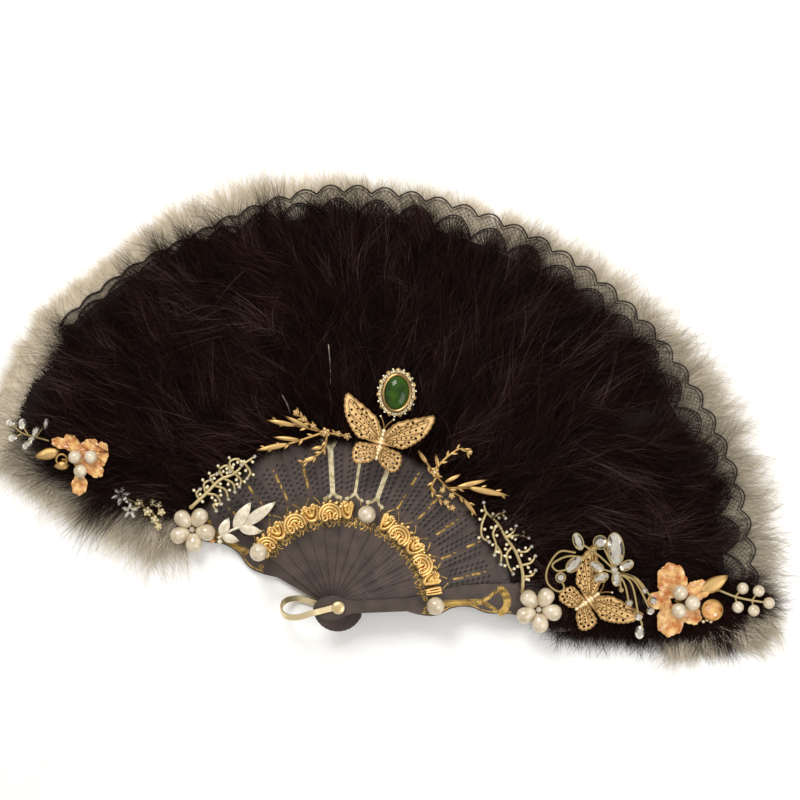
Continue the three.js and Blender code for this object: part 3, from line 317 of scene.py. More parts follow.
# %% [markdown]
# The feathers are turkey marabou, dyed brown-black. One strand is far thinner than a pixel, so the strands
# are drawn a little wider than life, and each carries its own tone. The leaf is thin woven polyester, whose
# thread is drawn coarser than life, and the lace is twisted polyester thread.

# %% Feather, cloth and thread
def dyed_down(name, dark, middle, pale, roughness, gloss):
    material, tree, shader = new_material(name)
    tone = add_node(tree, "ShaderNodeAttribute", attribute_name="tone")
    tint(tree, shader, tone.outputs["Fac"], (0, dark), (1, pale), (0.4, middle))
    set_inputs(shader, {"Roughness": roughness, "Specular IOR Level": gloss})
    return material


def woven_polyester():
    material = mottled("woven_polyester", 12, "#120e0d", "#1f1917", (0.75, 0.9), {"Specular IOR Level": 0.2})
    tree = material.node_tree
    weave = add_node(tree, "ShaderNodeTexVoronoi", [("Vector", tree.nodes["place"].outputs["Object"])])
    set_inputs(weave, {"Scale": 1 / (0.8 * MM)})
    bump(tree, tree.nodes["Principled BSDF"], weave.outputs["Distance"], 0.1)
    return material


DOWN = dyed_down("dyed_marabou", "#070302", "#25100b", "#54413b", 0.5, 0.06)
FLUFF = dyed_down("undyed_marabou_tips", "#4a3b30", "#a69a87", "#eddfc6", 0.8, 0.2)
CLOTH = woven_polyester()
THREAD = mottled("twisted_thread", 1.2, "#120d0b", "#2c2320", (0.7, 0.9), {}, (0.1,))
print("materials:", len(bpy.data.materials))

# %% [markdown]
# ## Floor and sky
# The pale floor carries the shadow. The sky is a little brighter for the camera, and for what the metal and
# the glass mirror, than as a light on the fan.

# %% Floor and sky
FLOOR_HALF = 3.0


def make_floor():
    material = mottled(
        "pale_paper_floor", 40, "#f6f5f3", "#fbfaf8", (0.85, 0.95), {"Specular IOR Level": 0.1})
    mesh = bpy.data.meshes.new("floor")
    corners = [(x * FLOOR_HALF, y * FLOOR_HALF, 0) for x, y in ((-1, -1), (1, -1), (1, 1), (-1, 1))]
    mesh.from_pydata(corners, [], [(0, 1, 2, 3)])
    mesh.materials.append(material)
    floor = bpy.data.objects.new("floor", mesh)
    scene.collection.objects.link(floor)


def make_sky():
    world = bpy.data.worlds.new("soft_sky")
    world.use_nodes = True
    scene.world = world
    tree = world.node_tree
    sky = tree.nodes["Background"]
    set_inputs(sky, {"Color": linear("#f4f2ee")})
    path = add_node(tree, "ShaderNodeLightPath")
    seen = add_node(tree, "ShaderNodeMath", [
        (0, path.outputs["Is Camera Ray"]), (1, path.outputs["Is Glossy Ray"])], operation="MAXIMUM")
    strength = add_node(tree, "ShaderNodeMapRange", [("Value", seen.outputs[0])])
    set_inputs(strength, {"To Min": 0.6, "To Max": 0.75})
    tree.links.new(strength.outputs["Result"], sky.inputs["Strength"])


make_floor()
make_sky()
print("stage: floor and sky")

# %% [markdown]
# ## Making meshes
# A piece is a list of parts, each an array of points with its faces. `tube` draws a round wire along a path,
# `flat_cut` fills an outline with holes, `lathe` turns a profile, and `add_piece` joins the parts into one
# object that rides on a stick, when it is given one.

# %% Pieces
def join_parts(parts):
    points = []
    faces = []
    count = 0
    for part_points, part_faces in parts:
        points.append(np.asarray(part_points, float))
        faces.extend([tuple(int(i) + count for i in face) for face in part_faces])
        count += len(part_points)
    return np.concatenate(points), faces


def moved(part, matrix):
    points = np.asarray(part[0], float)
    return points @ matrix[:3, :3].T + matrix[:3, 3], part[1]


def place_piece(name, mesh, material, body, replaces):
    mesh.materials.append(material)
    piece = bpy.data.objects.new(name, mesh)
    scene.collection.objects.link(piece)
    if body:
        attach(piece, body)
    if replaces:
        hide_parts(*replaces)
    return piece


def add_piece(name, parts, material, body, replaces=(), matrix=None, sharp=40):
    """Joins parts into one object. A piece without a body stays where it is made, on no stick."""
    points, faces = join_parts(parts)
    if matrix is not None:
        points, faces = moved((points, faces), matrix)
    mesh = bpy.data.meshes.new(name)
    mesh.from_pydata((points * MM).tolist(), [], faces)
    mesh.shade_smooth()
    mesh.set_sharp_from_angle(angle=math.radians(sharp))
    return place_piece(name, mesh, material, body, replaces)


print("piece helpers ready")

# %% [markdown]
# A path is a smooth curve through a few points. `tube` carries its own up direction along the path, so that
# a wire doesn't twist.

# %% Paths and tubes
def smooth_path(points, steps):
    """A Catmull-Rom curve through points, with a number of steps to each span."""
    points = np.asarray(points, float)
    padded = np.concatenate([2 * points[:1] - points[1:2], points, 2 * points[-1:] - points[-2:-1]])
    t = np.linspace(0, 1, steps, endpoint=False)[:, None]
    spans = []
    for i in range(len(points) - 1):
        a, b, c, d = padded[i:i + 4]
        spans.append(0.5 * (
            2 * b + (c - a) * t + (2 * a - 5 * b + 4 * c - d) * t**2 + (3 * b - a - 3 * c + d) * t**3))
    return np.concatenate(spans + [points[-1:]])


def path_frames(path):
    along = np.gradient(path, axis=0)
    along /= np.linalg.norm(along, axis=1)[:, None]
    start = np.array([0, 0, 1.0]) if abs(along[0][2]) < 0.9 else np.array([1.0, 0, 0])
    up = start - along[0] * start.dot(along[0])
    ups = []
    for direction in along:
        up = up - direction * up.dot(direction)
        up = up / np.linalg.norm(up)
        ups.append(up)
    ups = np.array(ups)
    return ups, np.cross(ups, along)


def tube(path, radius, sides=6, flatten=1.0):
    path = np.asarray(path, float)
    radii = np.broadcast_to(np.asarray(radius, float), len(path))
    ups, across = path_frames(path)
    turn = 2 * math.pi * np.arange(sides) / sides
    ring = radii[:, None, None] * (
        across[:, None] * np.cos(turn)[None, :, None] + ups[:, None] * flatten * np.sin(turn)[None, :, None])
    points = (path[:, None] + ring).reshape(-1, 3)
    faces = []
    for i in range(len(path) - 1):
        for j in range(sides):
            a, b = i * sides + j, i * sides + (j + 1) % sides
            faces.append((a, a + sides, b + sides, b))
    faces.append(tuple(range(sides)))
    faces.append(tuple(reversed(range((len(path) - 1) * sides, len(path) * sides))))
    return points, faces


print("path helpers ready")

# %% [markdown]
# A turned form starts and ends on its axis. A flat form is cut from an outline, and the later loops are
# holes in it.

# %% Turned and flat forms
def lathe(profile, sides=32):
    """Turns (radius, height) points about Z. The profile starts and ends on the axis."""
    turn = 2 * math.pi * np.arange(sides) / sides
    rings = profile[1:-1]
    points = [(0, 0, profile[0][1])]
    for radius, height in rings:
        points += [(radius * math.cos(a), radius * math.sin(a), height) for a in turn]
    points.append((0, 0, profile[-1][1]))
    faces = []
    top = len(points) - 1
    for j in range(sides):
        following = (j + 1) % sides
        faces.append((0, 1 + following, 1 + j))
        for i in range(len(rings) - 1):
            a, b = 1 + i * sides + j, 1 + i * sides + following
            faces.append((a, b, b + sides, a + sides))
        end = 1 + (len(rings) - 1) * sides
        faces.append((end + j, end + following, top))
    return np.array(points, float), faces


def round_bead(centre, size, sides=20):
    """A bead whose three widths may differ."""
    bands = sides // 2
    turns = [math.pi * i / bands for i in range(bands + 1)]
    profile = [(0.5 * math.sin(a), -0.5 * math.cos(a)) for a in turns]
    points, faces = lathe(profile, sides)
    return points * np.asarray(size, float) + np.asarray(centre, float), faces


def flat_cut(loops, thickness, bottom=0.0):
    """Fills 2-D loops, the later ones as holes, and gives them a thickness."""
    curve = bpy.data.curves.new("cut", "CURVE")
    curve.dimensions = "2D"
    curve.fill_mode = "BOTH"
    curve.extrude = thickness / 2
    for loop in loops:
        spline = curve.splines.new("POLY")
        spline.points.add(len(loop) - 1)
        spline.points.foreach_set("co", [c for x, y in loop for c in (x, y, 0, 1)])
        spline.use_cyclic_u = True
    holder = bpy.data.objects.new("cut", curve)
    mesh = bpy.data.meshes.new_from_object(holder)
    points = np.array([v.co for v in mesh.vertices], float) + (0, 0, bottom + thickness / 2)
    faces = [tuple(p.vertices) for p in mesh.polygons]
    bpy.data.objects.remove(holder)
    bpy.data.curves.remove(curve)
    bpy.data.meshes.remove(mesh)
    return points, faces


def level(points, height):
    return [(x, y, height) for x, y in points]


def at(x, y, z=0.0, turn=0.0):
    return np.array(Matrix.Translation((x, y, z)) @ Matrix.Rotation(turn, 4, "Z"))


PHOTO_MATRIX = np.array(Matrix.Rotation(PHOTO_TURN, 4, "Z"))
print("form helpers ready")

# %% [markdown]
# ## Inner sticks
# A stick is one moulding: a round head for the rivet, a plain neck, a pierced panel, and a narrow slip that
# Each is cut here from one outline with two columns of small round holes on each side of its middle. A low rim
# stands round each hole. A thin near-black disc sits low in each hole as painted shade, though the hole itself
# goes through. The thicker disc round the rivet hole keeps the sticks apart.

# %% Inner sticks
HEAD_CENTRE = (-2.2, 0)
HEAD_REACH = (11.2, 6.5)
RIVET_HOLE = 1.85
PAD_RADIUS = 6.0
PAD_CLEARANCE = 0.3
SHOULDER = 83.0
HOLE_STEP = 2.9
HOLE_RADIUS = 0.8
RIM_RADIUS = 1.0
HOLE_PLACES = [
    (x, side * column * (0.84 + 0.16 * (x - 60) / 24))
    for column, first, last in ((2.9, 61.4, 84.0), (5.5, 62.9, 82.0))
    for x in np.arange(first, last, HOLE_STEP) for side in (-1, 1)]


def arc(centre, reach, start, end, steps):
    turn = np.linspace(start, end, steps)
    return [(centre[0] + reach[0] * math.cos(a), centre[1] + reach[1] * math.sin(a)) for a in turn]


def circle(x, y, radius, steps=16):
    return arc((x, y), (radius, radius), 0, 2 * math.pi * (1 - 1 / steps), steps)


def head_arc():
    return arc(HEAD_CENTRE, HEAD_REACH, math.pi / 2, 1.5 * math.pi, 36)


def stick_outline():
    corner = [(SHOULDER + 8 * (1 - (1 - t) ** 2), -9.2 + 6.2 * t * t) for t in np.linspace(0, 1, 12)]
    lower = [(7, -3.6), (46, -5.3)] + corner
    tip = arc((204, 0), (2, 2), -math.pi / 2, math.pi / 2, 10)
    upper = [(x, -y) for x, y in reversed(lower)]
    return head_arc() + lower + tip + upper


def hole_rims():
    rims = [circle(x, y, RIM_RADIUS, 10) + [(x + RIM_RADIUS, y)] for x, y in HOLE_PLACES]
    return [tube(level(rim, STICK_THICKNESS), 0.2, 4, 0.45) for rim in rims]


def neck_ridges():
    """Fine raised lines that run out from the head, as the mould left them."""
    return [
        tube([(11, 0.4 * y, STICK_THICKNESS), (45, y, STICK_THICKNESS)], 0.14, 4, 0.5)
        for y in (-3.4, -1.2, 1.4, 3.9)]


def panel_ribs():
    """Raised ribs that frame the columns of holes."""
    course = [(57.6, 3.4), (60.6, 1.5), (84, 1.7), (87.4, 4.2)]
    return [tube([(x, side * y, STICK_THICKNESS) for x, y in course], 0.3, 5, 0.3) for side in (-1, 1)]


def pad(depth):
    return flat_cut([circle(0, 0, PAD_RADIUS, 32), circle(0, 0, RIVET_HOLE)], depth - PAD_CLEARANCE)


def stick_parts():
    holes = [circle(x, y, HOLE_RADIUS, 10) for x, y in HOLE_PLACES]
    plate = flat_cut([stick_outline(), circle(0, 0, RIVET_HOLE)] + holes, STICK_THICKNESS)
    return [plate, pad(STICK_THICKNESS + LAYER_GAP)] + neck_ridges() + panel_ribs() + hole_rims()


stick_form = stick_parts()
# A thin near-black disc in each hole: painted shade where the real hole is open.
hole_shade_discs = [flat_cut([circle(x, y, HOLE_RADIUS + 0.02, 10)], 0.12, 0.08) for x, y in HOLE_PLACES]
for k in range(1, LAST):
    body, matrix = stick_body(k), stick_matrix(k)
    add_piece(f"fine_stick_{k:02d}", stick_form, PLASTIC, body, [body], matrix, sharp=30)
    add_piece(f"stick_painted_hole_shade_{k:02d}", hole_shade_discs, PAINTED_HOLE_SHADE, body, (), matrix)
print("stick points:", sum(len(p) for p, _ in stick_form))

# %% [markdown]
# Gold foil is pressed on the sticks with a hot die. Three sticks near the middle keep a cream pillar down
# the panel that splits in two at both ends. On the others only worn flecks of it are left. A border of
# curls and hooks runs along the inner side of the scroll band.

# %% Foil on the inner sticks
FOIL_WIRE = 0.26
FOIL_FLAT = 0.35
PILLARS = {5: 1.7, 6: 0.75, 7: 1.2}
HOOKS = ((-4.1, 1.0, 0.6), (-2.2, 1.3, -0.9), (-0.2, 0.9, 0.8), (1.6, 1.4, 1.2), (3.9, 1.0, -0.7))


def foil_line(points, radius=FOIL_WIRE, top=STICK_THICKNESS, flatten=FOIL_FLAT):
    path = [(x, y, top + 0.01) for x, y in points]
    return tube(path, radius, 4, flatten)


def curl(x, y, radius, start, turns, steps=14):
    """A small spiral that opens from its middle."""
    t = np.linspace(0.15, 1, steps)
    angle = start + 2 * math.pi * turns * t
    return [(x + radius * s * math.cos(a), y + radius * s * math.sin(a)) for s, a in zip(t, angle)]


def pillar_foil(half):
    """A pillar between the columns of holes, split in two at both ends."""
    parts = [foil_line([(60, 0), (84.5, 0)], half, flatten=0.07)]
    for side in (-1, 1):
        inner = [(60.8, 0), (58.2, side * 2.4), (57.0, side * 4.9)]
        outer = [(84, 0), (86.6, side * 2.4), (89.6, side * 4.4)]
        parts.append(foil_line(inner, 0.45 + 0.35 * half, flatten=0.1))
        parts.append(foil_line(outer, 0.3 + 0.45 * half, flatten=0.1))
    return parts


def fleck_foil(index):
    """What is left of a thin pillar where the foil has worn, which differs from stick to stick."""
    shift = 2.5 * math.sin(2.1 * index)
    dashes = [
        (62.5 + shift, 5.5, 0.5), (69.5 + shift, 2.2, 0.35), (73 - shift, 4.8, 0.6), (79.4 - shift, 1.6, 0.3)]
    return [foil_line([(x, 0.2), (x + run, -0.2)], wire, flatten=0.12) for x, run, wire in dashes]


def border_foil():
    """Curls and hooks with a drop at each end."""
    parts = [foil_line(curl(47.6, 0, 1.3, 2, 1.3))]
    for side in (-1, 1):
        parts.append(foil_line(curl(46.6, side * 2.8, 1.5, 0, side * 1.4), 0.32))
        parts.append(foil_line([(59.6, side * 1.2), (56.6, side * 3.4), (54.6, side * 4.0)], 0.22))
    for y, size, hook in HOOKS:
        parts.append(foil_line(curl(44.6, 0.95 * y, size, 1.3 * y, 0.9 * math.copysign(1, hook)), 0.3))
        parts.append(foil_line([(45.6, y), (43.6, 0.93 * y), (42.7, 0.92 * y + hook)], 0.26))
        parts.append(round_bead((42.5, 0.92 * y + hook, STICK_THICKNESS), (0.9, 0.8, 0.4), 8))
    return parts


border_form = border_foil()
for k in range(1, LAST):
    body, matrix = stick_body(k), stick_matrix(k)
    form, material = (pillar_foil(PILLARS[k]), CREAM_FOIL) if k in PILLARS else (fleck_foil(k), FOIL)
    add_piece(f"stick_pillar_{k:02d}", form, material, body, (), matrix)
    add_piece(f"stick_border_{k:02d}", border_form, FOIL, body, (), matrix)
print("foil lines in a border:", len(border_form))

# %% [markdown]
# ## Guards
# The two guards are thicker. Their outer edge is scalloped and their inner edge swells, so each outline is
# a smooth curve through a few measured points. Foil follows the outer edge, and a feathered line runs along
# the middle to a crescent.

# %% Guards
GUARD_NECK = 3.4
GUARD_FLAT = 0.12
GUARD_OUTER = [
    (44, 5.8), (52, 6.2), (61, 2.6), (70, 2.6), (79, 6.2), (92, 7.2), (105, 12), (117, 17.5), (125, 16.5),
    (136, 11.5), (146, 14.5), (160, 17.5), (180, 15), (196, 10)]
GUARD_INNER = [(196, 6.5), (170, 8.5), (130, 9.2), (94, 9.2), (66, 9), (46, 5)]
CRESCENT = (83, 0)


def guard_outline(side):
    outer = smooth_path([(36, GUARD_NECK)] + GUARD_OUTER + [(STICK_LENGTH, 0)], 8)
    inner = smooth_path([(STICK_LENGTH, 0)] + [(x, -y) for x, y in GUARD_INNER] + [(36, -GUARD_NECK)], 8)
    sides = [tuple(p) for p in outer] + [tuple(p) for p in inner[1:]]
    loop = [(7, GUARD_NECK)] + sides + [(7, -GUARD_NECK)] + head_arc()[::-1]
    return [(x, side * y) for x, y in loop]


def guard_line(points, wire):
    return foil_line(points, wire, GUARD_THICKNESS, GUARD_FLAT)


def barbed_line(path, wire, barb):
    """A foil line with short barbs on both sides, like a feather."""
    path = np.asarray(path, float)
    parts = [guard_line(path, wire)]
    for a, b in zip(path[:-1], path[1:]):
        step = (b - a) / np.linalg.norm(b - a)
        for turn in (-1, 1):
            tip = a + barb * (0.6 * step + turn * np.array([-step[1], step[0]]))
            parts.append(guard_line([a, tip], 0.26))
    return parts


def guard_foil(side):
    """A rim line, a feathered line that splits in two, and a crescent."""
    parts = [guard_line([(x, side * (y - 1.1)) for x, y in smooth_path(GUARD_OUTER[:6], 6)], 0.3)]
    parts += barbed_line([(x, 0) for x in np.arange(56, 76.5, 1.0)], 0.5, 1.7)
    for turn in (-1, 1):
        parts += barbed_line(smooth_path([(76, 0), (80, turn * 2.2), (84.5, turn * 5.6)], 4), 0.6, 1.1)
        parts.append(guard_line(curl(46, turn * 2.6, 1.6, 0, turn * 1.4), 0.3))
    for reach in (5.2, 6.2, 7.2):
        parts.append(guard_line(arc(CRESCENT, (reach, reach + 0.6), -1.3, 1.3, 18), 0.42))
    parts += barbed_line(arc(CRESCENT, (8.0, 8.4), -1.2, 1.2, 18), 0.25, 0.9)
    return parts


for k, side, name in ((0, 1, "back_guard"), (LAST, -1, "front_guard")):
    form = [flat_cut([guard_outline(side), circle(0, 0, RIVET_HOLE)], GUARD_THICKNESS)]
    if k == 0:
        form.append(pad(GUARD_THICKNESS + BACK_GAP))
    add_piece(f"fine_{name}", form, PLASTIC, name, [name], stick_matrix(k), sharp=30)
    add_piece(f"{name}_foil", guard_foil(side), FOIL, name, (), stick_matrix(k))
print("guards made")

# %% [markdown]
# ## Rivet, washer and bail
# The rivet is a turned pin with a domed head. The bail is a strap bent round the whole stack, with an eye
# at each end, and it is swept here with rounded edges along the strap's course.

# %% Rivet, washer and bail
RIVET_HEAD_BASE = 22.05
RIVET_PROFILE = [
    (0, 0), (1.5, 0), (1.5, RIVET_HEAD_BASE), (3.0, RIVET_HEAD_BASE), (3.2, 22.2), (3.2, 22.6), (2.9, 22.95),
    (2.2, 23.2), (1.2, 23.33), (0, 23.35)]
EYE_RADIUS = 3.4
BAIL_ANGLE = math.radians(196)
BAIL_LENGTH = 31.0
BAIL_SPREAD = 4.4
FRONT_EYE = 20.8
BACK_EYE = 1.05
BAIL_COURSE = [
    (0.1, 0, 0, 0), (0.3, 0.3, 0, 0.9), (0.47, 0.55, 0, 1.4), (0.7, 1, 0.06, 0), (0.91, 0.85, 0.3, 0),
    (0.985, 0, 0.52, 0), (0.91, -0.85, 0.76, 0), (0.7, -1, 0.98, 0), (0.45, -0.5, 1, 0), (0.25, -0.15, 1, 0),
    (0.1, 0, 1, 0)]
STRAP_SECTION = [
    (1.4, 0.5), (1.6, 0.3), (1.6, -0.3), (1.4, -0.5), (-1.4, -0.5), (-1.6, -0.3), (-1.6, 0.3), (-1.4, 0.5)]


def eye(hole, thickness, base=0.0):
    return flat_cut([circle(0, 0, EYE_RADIUS, 40), circle(0, 0, hole, 24)], thickness, base)


def strap():
    front, back = FRONT_EYE + 0.5, BACK_EYE + 0.5
    course = [
        (BAIL_LENGTH * out, BAIL_SPREAD * spread, front + (back - front) * share + extra)
        for out, spread, share, extra in BAIL_COURSE]
    path = smooth_path(course, 10)
    along = np.gradient(path, axis=0)
    along /= np.linalg.norm(along, axis=1)[:, None]
    inward = np.minimum(path[:, 0], BAIL_LENGTH * 0.6)
    centre = np.stack([inward, path[:, 1], np.full(len(path), (front + back) / 2)], 1)
    outward = path - centre
    outward -= along * np.sum(outward * along, axis=1)[:, None]
    outward /= np.linalg.norm(outward, axis=1)[:, None]
    across = np.cross(along, outward)
    points = [p + side * a + face * o for p, a, o in zip(path, across, outward) for side, face in STRAP_SECTION]
    n = len(STRAP_SECTION)
    faces = [
        (i * n + j, i * n + (j + 1) % n, (i + 1) * n + (j + 1) % n, (i + 1) * n + j)
        for i in range(len(path) - 1) for j in range(n)]
    faces += [tuple(reversed(range(n))), tuple(range((len(path) - 1) * n, len(path) * n))]
    return np.array(points), faces


add_piece("turned_rivet", [lathe(RIVET_PROFILE, 40)], PALE_GOLD, "back_guard", ["rivet"])
add_piece("pressed_washer", [eye(1.6, 0.8)], GOLD, "back_guard", ["rivet_washer"], sharp=30)
bail_form = [strap(), eye(RIVET_HOLE, 1.0, FRONT_EYE), eye(RIVET_HOLE, 1.0, BACK_EYE)]
add_piece("bent_bail", bail_form, PALE_GOLD, "bail", ["bail"], at(0, 0, 0, BAIL_ANGLE), sharp=30)
print("rivet, washer and bail made")

# %% [markdown]
# ## Pleated leaf
# The leaf is one strip of thin cloth cut as half a ring, glued to the sticks, with a fold standing up between
# each two. It is made as one panel for each gap, shaped between its own two sticks.

# %% Leaf heights
LEAF_INNER = 92.0
LEAF_OUTER = 207.0
LEAF_THICKNESS = 0.5
PLEAT_HEIGHT = 1.6
GUARD_COVER = 0.6
BASE = np.array([base_height(k) for k in range(LAST + 1)])
TIP = np.array([tip_height(k) for k in range(LAST + 1)])
THICK = np.array([stick_thickness(k) for k in range(LAST + 1)])


def leaf_seat(index, radius):
    lower = BASE[index] + (TIP[index] - BASE[index]) * np.minimum(radius / STICK_LENGTH, 1)
    return np.where(index >= LAST, lower - SEAT - LEAF_THICKNESS, lower + THICK[index] + SEAT)


def leaf_height(angle, radius):
    """The middle of the cloth at an angle about the rivet, in radians, and a distance from it."""
    place = np.clip((stick_angle(0) - np.asarray(angle, float)) / PITCH, 0, LAST)
    index = np.minimum(np.floor(place), LAST - 1).astype(int)
    along = place - index
    start, end = leaf_seat(index, radius), leaf_seat(index + 1, radius)
    ridge = start + (end - start) * along + PLEAT_HEIGHT * (1 - np.abs(2 * along - 1))
    dip = start + (end - start) * np.minimum(along / (1 - GUARD_COVER), 1)
    return np.where(index == LAST - 1, dip, ridge) + LEAF_THICKNESS / 2


def polar(angle, radius, height):
    return np.stack([radius * np.cos(angle), radius * np.sin(angle), height], axis=-1)


def grid_faces(columns, rows):
    i, j = np.meshgrid(np.arange(columns - 1), np.arange(rows - 1), indexing="ij")
    a = (i * rows + j).ravel()
    return np.stack([a, a + 1, a + rows + 1, a + rows], axis=1)


print("leaf height at the rim:", round(float(leaf_height(math.pi / 2, LEAF_OUTER)), 2), "mm")

# %% [markdown]
# A panel is a grid of points between two sticks. Past each guard a flap of the leaf runs on and rides with it.

# %% Leaf panels
RIGHT_FLAP = math.radians(8.5)
FLAP_INNER = 122.0
LEFT_FLAP = math.radians(171)
LEAF_COLUMNS = 25
LEAF_ROWS = 24


def leaf_panel(name, first, last, inner=LEAF_INNER):
    angles = np.linspace(first, last, LEAF_COLUMNS)[:, None] * np.ones((1, LEAF_ROWS))
    radii = np.ones((LEAF_COLUMNS, 1)) * np.linspace(inner, LEAF_OUTER, LEAF_ROWS)[None, :]
    points = polar(angles, radii, leaf_height(angles, radii)).reshape(-1, 3)
    form = [(points, grid_faces(LEAF_COLUMNS, LEAF_ROWS))]
    return add_piece(name, form, CLOTH, None, ["leaf"], sharp=180)


def bend_between(piece):
    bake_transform(piece)


for k in range(LAST):
    panel = leaf_panel(f"leaf_panel_{k + 1:02d}", stick_angle(k), stick_angle(k + 1))
    bend_between(panel)
left_flap = leaf_panel("leaf_flap_left", LEFT_FLAP, stick_angle(0))
right_flap = leaf_panel("leaf_flap_right", stick_angle(LAST), RIGHT_FLAP, FLAP_INNER)
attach(left_flap, "back_guard")
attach(right_flap, "front_guard")

# %% [markdown]
# ## Lace edging
# The edging is bobbin lace: a thick cord along the outer scallops, a second row of wide arcs inside them, fans
# of threads in the arcs, and a fine diamond net between. On the left it is gathered to under half its width,
# and it ends with the leaf. Every thread is drawn, and each panel of lace follows the shape of the leaf panel
# that it is sewn to.

# %% Lace
LACE_START = 203.0
LACE_OUTER = 224.5
LACE_NOTCH = 4.0
LACE_LEFT = math.radians(171.5)
RIGHT_SHARE = 0.65
SCALLOPS = 3
ARCS = 2
NET_MESH = 2.6
NET_DEPTH = 20
NET_BELOW_ARC = 12
ARC_BASE = 207.5
ARC_RISE = 10.0
FAN_START = 205
FAN_THREADS = 11
EDGE_STEPS = 72
GATHER_ANGLES = [106, 126]
GATHER = [1, 0.45]


def lace_edge(share):
    return LACE_OUTER - LACE_NOTCH * (1 - np.abs(np.sin(np.pi * SCALLOPS * share)))


def lace_arc(share):
    return ARC_BASE + ARC_RISE * np.abs(np.sin(np.pi * ARCS * share)) ** 0.7


def lace_thread(first, last, shares, radii, wire, sides=4):
    angle = first + (last - first) * np.asarray(shares, float)
    height = leaf_height(angle, LEAF_OUTER) + LEAF_THICKNESS / 2 + 0.1
    gathered = np.interp(np.degrees(angle), GATHER_ANGLES, GATHER)
    radii = LACE_START + (np.asarray(radii, float) - LACE_START) * gathered
    return tube(polar(angle, radii, height), wire, sides)


def lace_parts(first, last, scale=1.0):
    full = np.linspace(0, scale, EDGE_STEPS)
    edge, arch_line = lace_edge(full), lace_arc(full)
    cords = (
        (edge, 0.38), (edge - 1.7, 0.18), (arch_line, 0.34), (arch_line - 1.4, 0.25),
        (np.full(EDGE_STEPS, LACE_START + 1), 0.5))
    parts = [lace_thread(first, last, full / scale, radii, wire) for radii, wire in cords]
    for arch in range(int(round(ARCS * scale))):
        middle = (arch + 0.5) / ARCS
        for spread in np.linspace(-0.42, 0.42, FAN_THREADS):
            share = middle + spread / ARCS
            run = np.array([middle + 0.12 * spread / ARCS, share]) / scale
            parts.append(lace_thread(first, last, run, [FAN_START, lace_arc(share) - 0.6], 0.22))
    rim = LEAF_OUTER * PITCH
    for slant in (-1, 1):
        for start in np.arange(-0.6, scale + 0.6, NET_MESH / rim):
            run = np.linspace(0, 1, 12)
            share = start + slant * run * NET_DEPTH / rim
            radius = LACE_START + run * NET_DEPTH
            inside = (share >= 0) & (share <= scale)
            inside &= (radius < lace_edge(share)) & (radius > lace_arc(share) - NET_BELOW_ARC)
            if inside.sum() > 1:
                parts.append(lace_thread(first, last, share[inside] / scale, radius[inside], 0.11, 3))
    return parts


def add_lace(name, body, *span):
    return add_piece(name, lace_parts(*span), THREAD, body, ["lace_edging"])


lace_pieces = []
for k in range(LAST):
    lace_pieces.append(add_lace(f"lace_{k + 1:02d}", None, stick_angle(k), stick_angle(k + 1)))
    bend_between(lace_pieces[-1])
left_share = (LACE_LEFT - stick_angle(0)) / PITCH
lace_pieces.append(add_lace("lace_left", "back_guard", stick_angle(0), LACE_LEFT, left_share))
lace_pieces.append(add_lace("lace_right", "front_guard", stick_angle(LAST), RIGHT_FLAP, RIGHT_SHARE))
print("lace pieces:", len(lace_pieces))

# %% [markdown]
# ## Feathers
# Marabou is the down from under a turkey's wing. Its barbs are long and loose and lie every way, so the
# down is drawn as locks of thin ribbons without a quill. Each ribbon tapers, bends and tilts a little, and
# each group rides on the stick nearest to it.

# %% Strands
def strands(roots, headings, lengths, bends, lifts, drops, widths, tones, fade, segments=5):
    """Thin tapering ribbons. Headings and bends are angles in the plan, lifts and drops are heights."""
    t = np.linspace(0, 1, segments + 1)[None, :]
    middle = (t[:, 1:] + t[:, :-1]) / 2
    heading = headings[:, None] + bends[:, None] * middle
    step = lengths[:, None] / segments
    zero = np.zeros((len(roots), 1))
    x = roots[:, :1] + np.concatenate([zero, np.cumsum(np.cos(heading) * step, axis=1)], axis=1)
    y = roots[:, 1:2] + np.concatenate([zero, np.cumsum(np.sin(heading) * step, axis=1)], axis=1)
    z = np.maximum(roots[:, 2:] + lifts[:, None] * np.sin(np.pi * 0.8 * t) - drops[:, None] * t**2, 0.3)
    along = headings[:, None] + bends[:, None] * t
    half = widths[:, None] * (1 - 0.8 * t) / 2
    tilt = np.sin(np.arange(len(roots)) * 2.4)[:, None] * 0.9
    across = np.stack([
        -np.sin(along) * np.cos(tilt), np.cos(along) * np.cos(tilt), np.sin(tilt) + 0 * along], -1)
    middle_line = np.stack([x, y, z], -1)
    points = np.stack([middle_line + across * half[..., None], middle_line - across * half[..., None]], 2)
    count = 2 * (segments + 1)
    start = (np.arange(len(roots)) * count)[:, None] + 2 * np.arange(segments)[None, :]
    faces = np.stack([start, start + 1, start + 3, start + 2], -1).reshape(-1, 4)
    tone = tones[:, None] * (1 - fade + fade * t)
    return points.reshape(-1, 3), faces, np.repeat(tone, 2, axis=1).ravel()


def add_strands(name, groups, material, body, replaces=()):
    points = np.concatenate([g[0] for g in groups])
    starts = np.cumsum([0] + [len(g[0]) for g in groups[:-1]])
    faces = np.concatenate([g[1] + start for g, start in zip(groups, starts)])
    mesh = bpy.data.meshes.new(name)
    mesh.vertices.add(len(points))
    mesh.vertices.foreach_set("co", (points * MM).ravel())
    mesh.loops.add(faces.size)
    mesh.loops.foreach_set("vertex_index", faces.ravel().astype(np.int32))
    mesh.polygons.add(len(faces))
    mesh.polygons.foreach_set("loop_start", np.arange(0, faces.size, 4, dtype=np.int32))
    mesh.update(calc_edges=True)
    mesh.shade_smooth()
    tone = mesh.attributes.new("tone", "FLOAT", "POINT")
    tone.data.foreach_set("value", np.concatenate([g[2] for g in groups]).astype(np.float32))
    place_piece(name, mesh, material, body, replaces)


print("strand helpers ready")

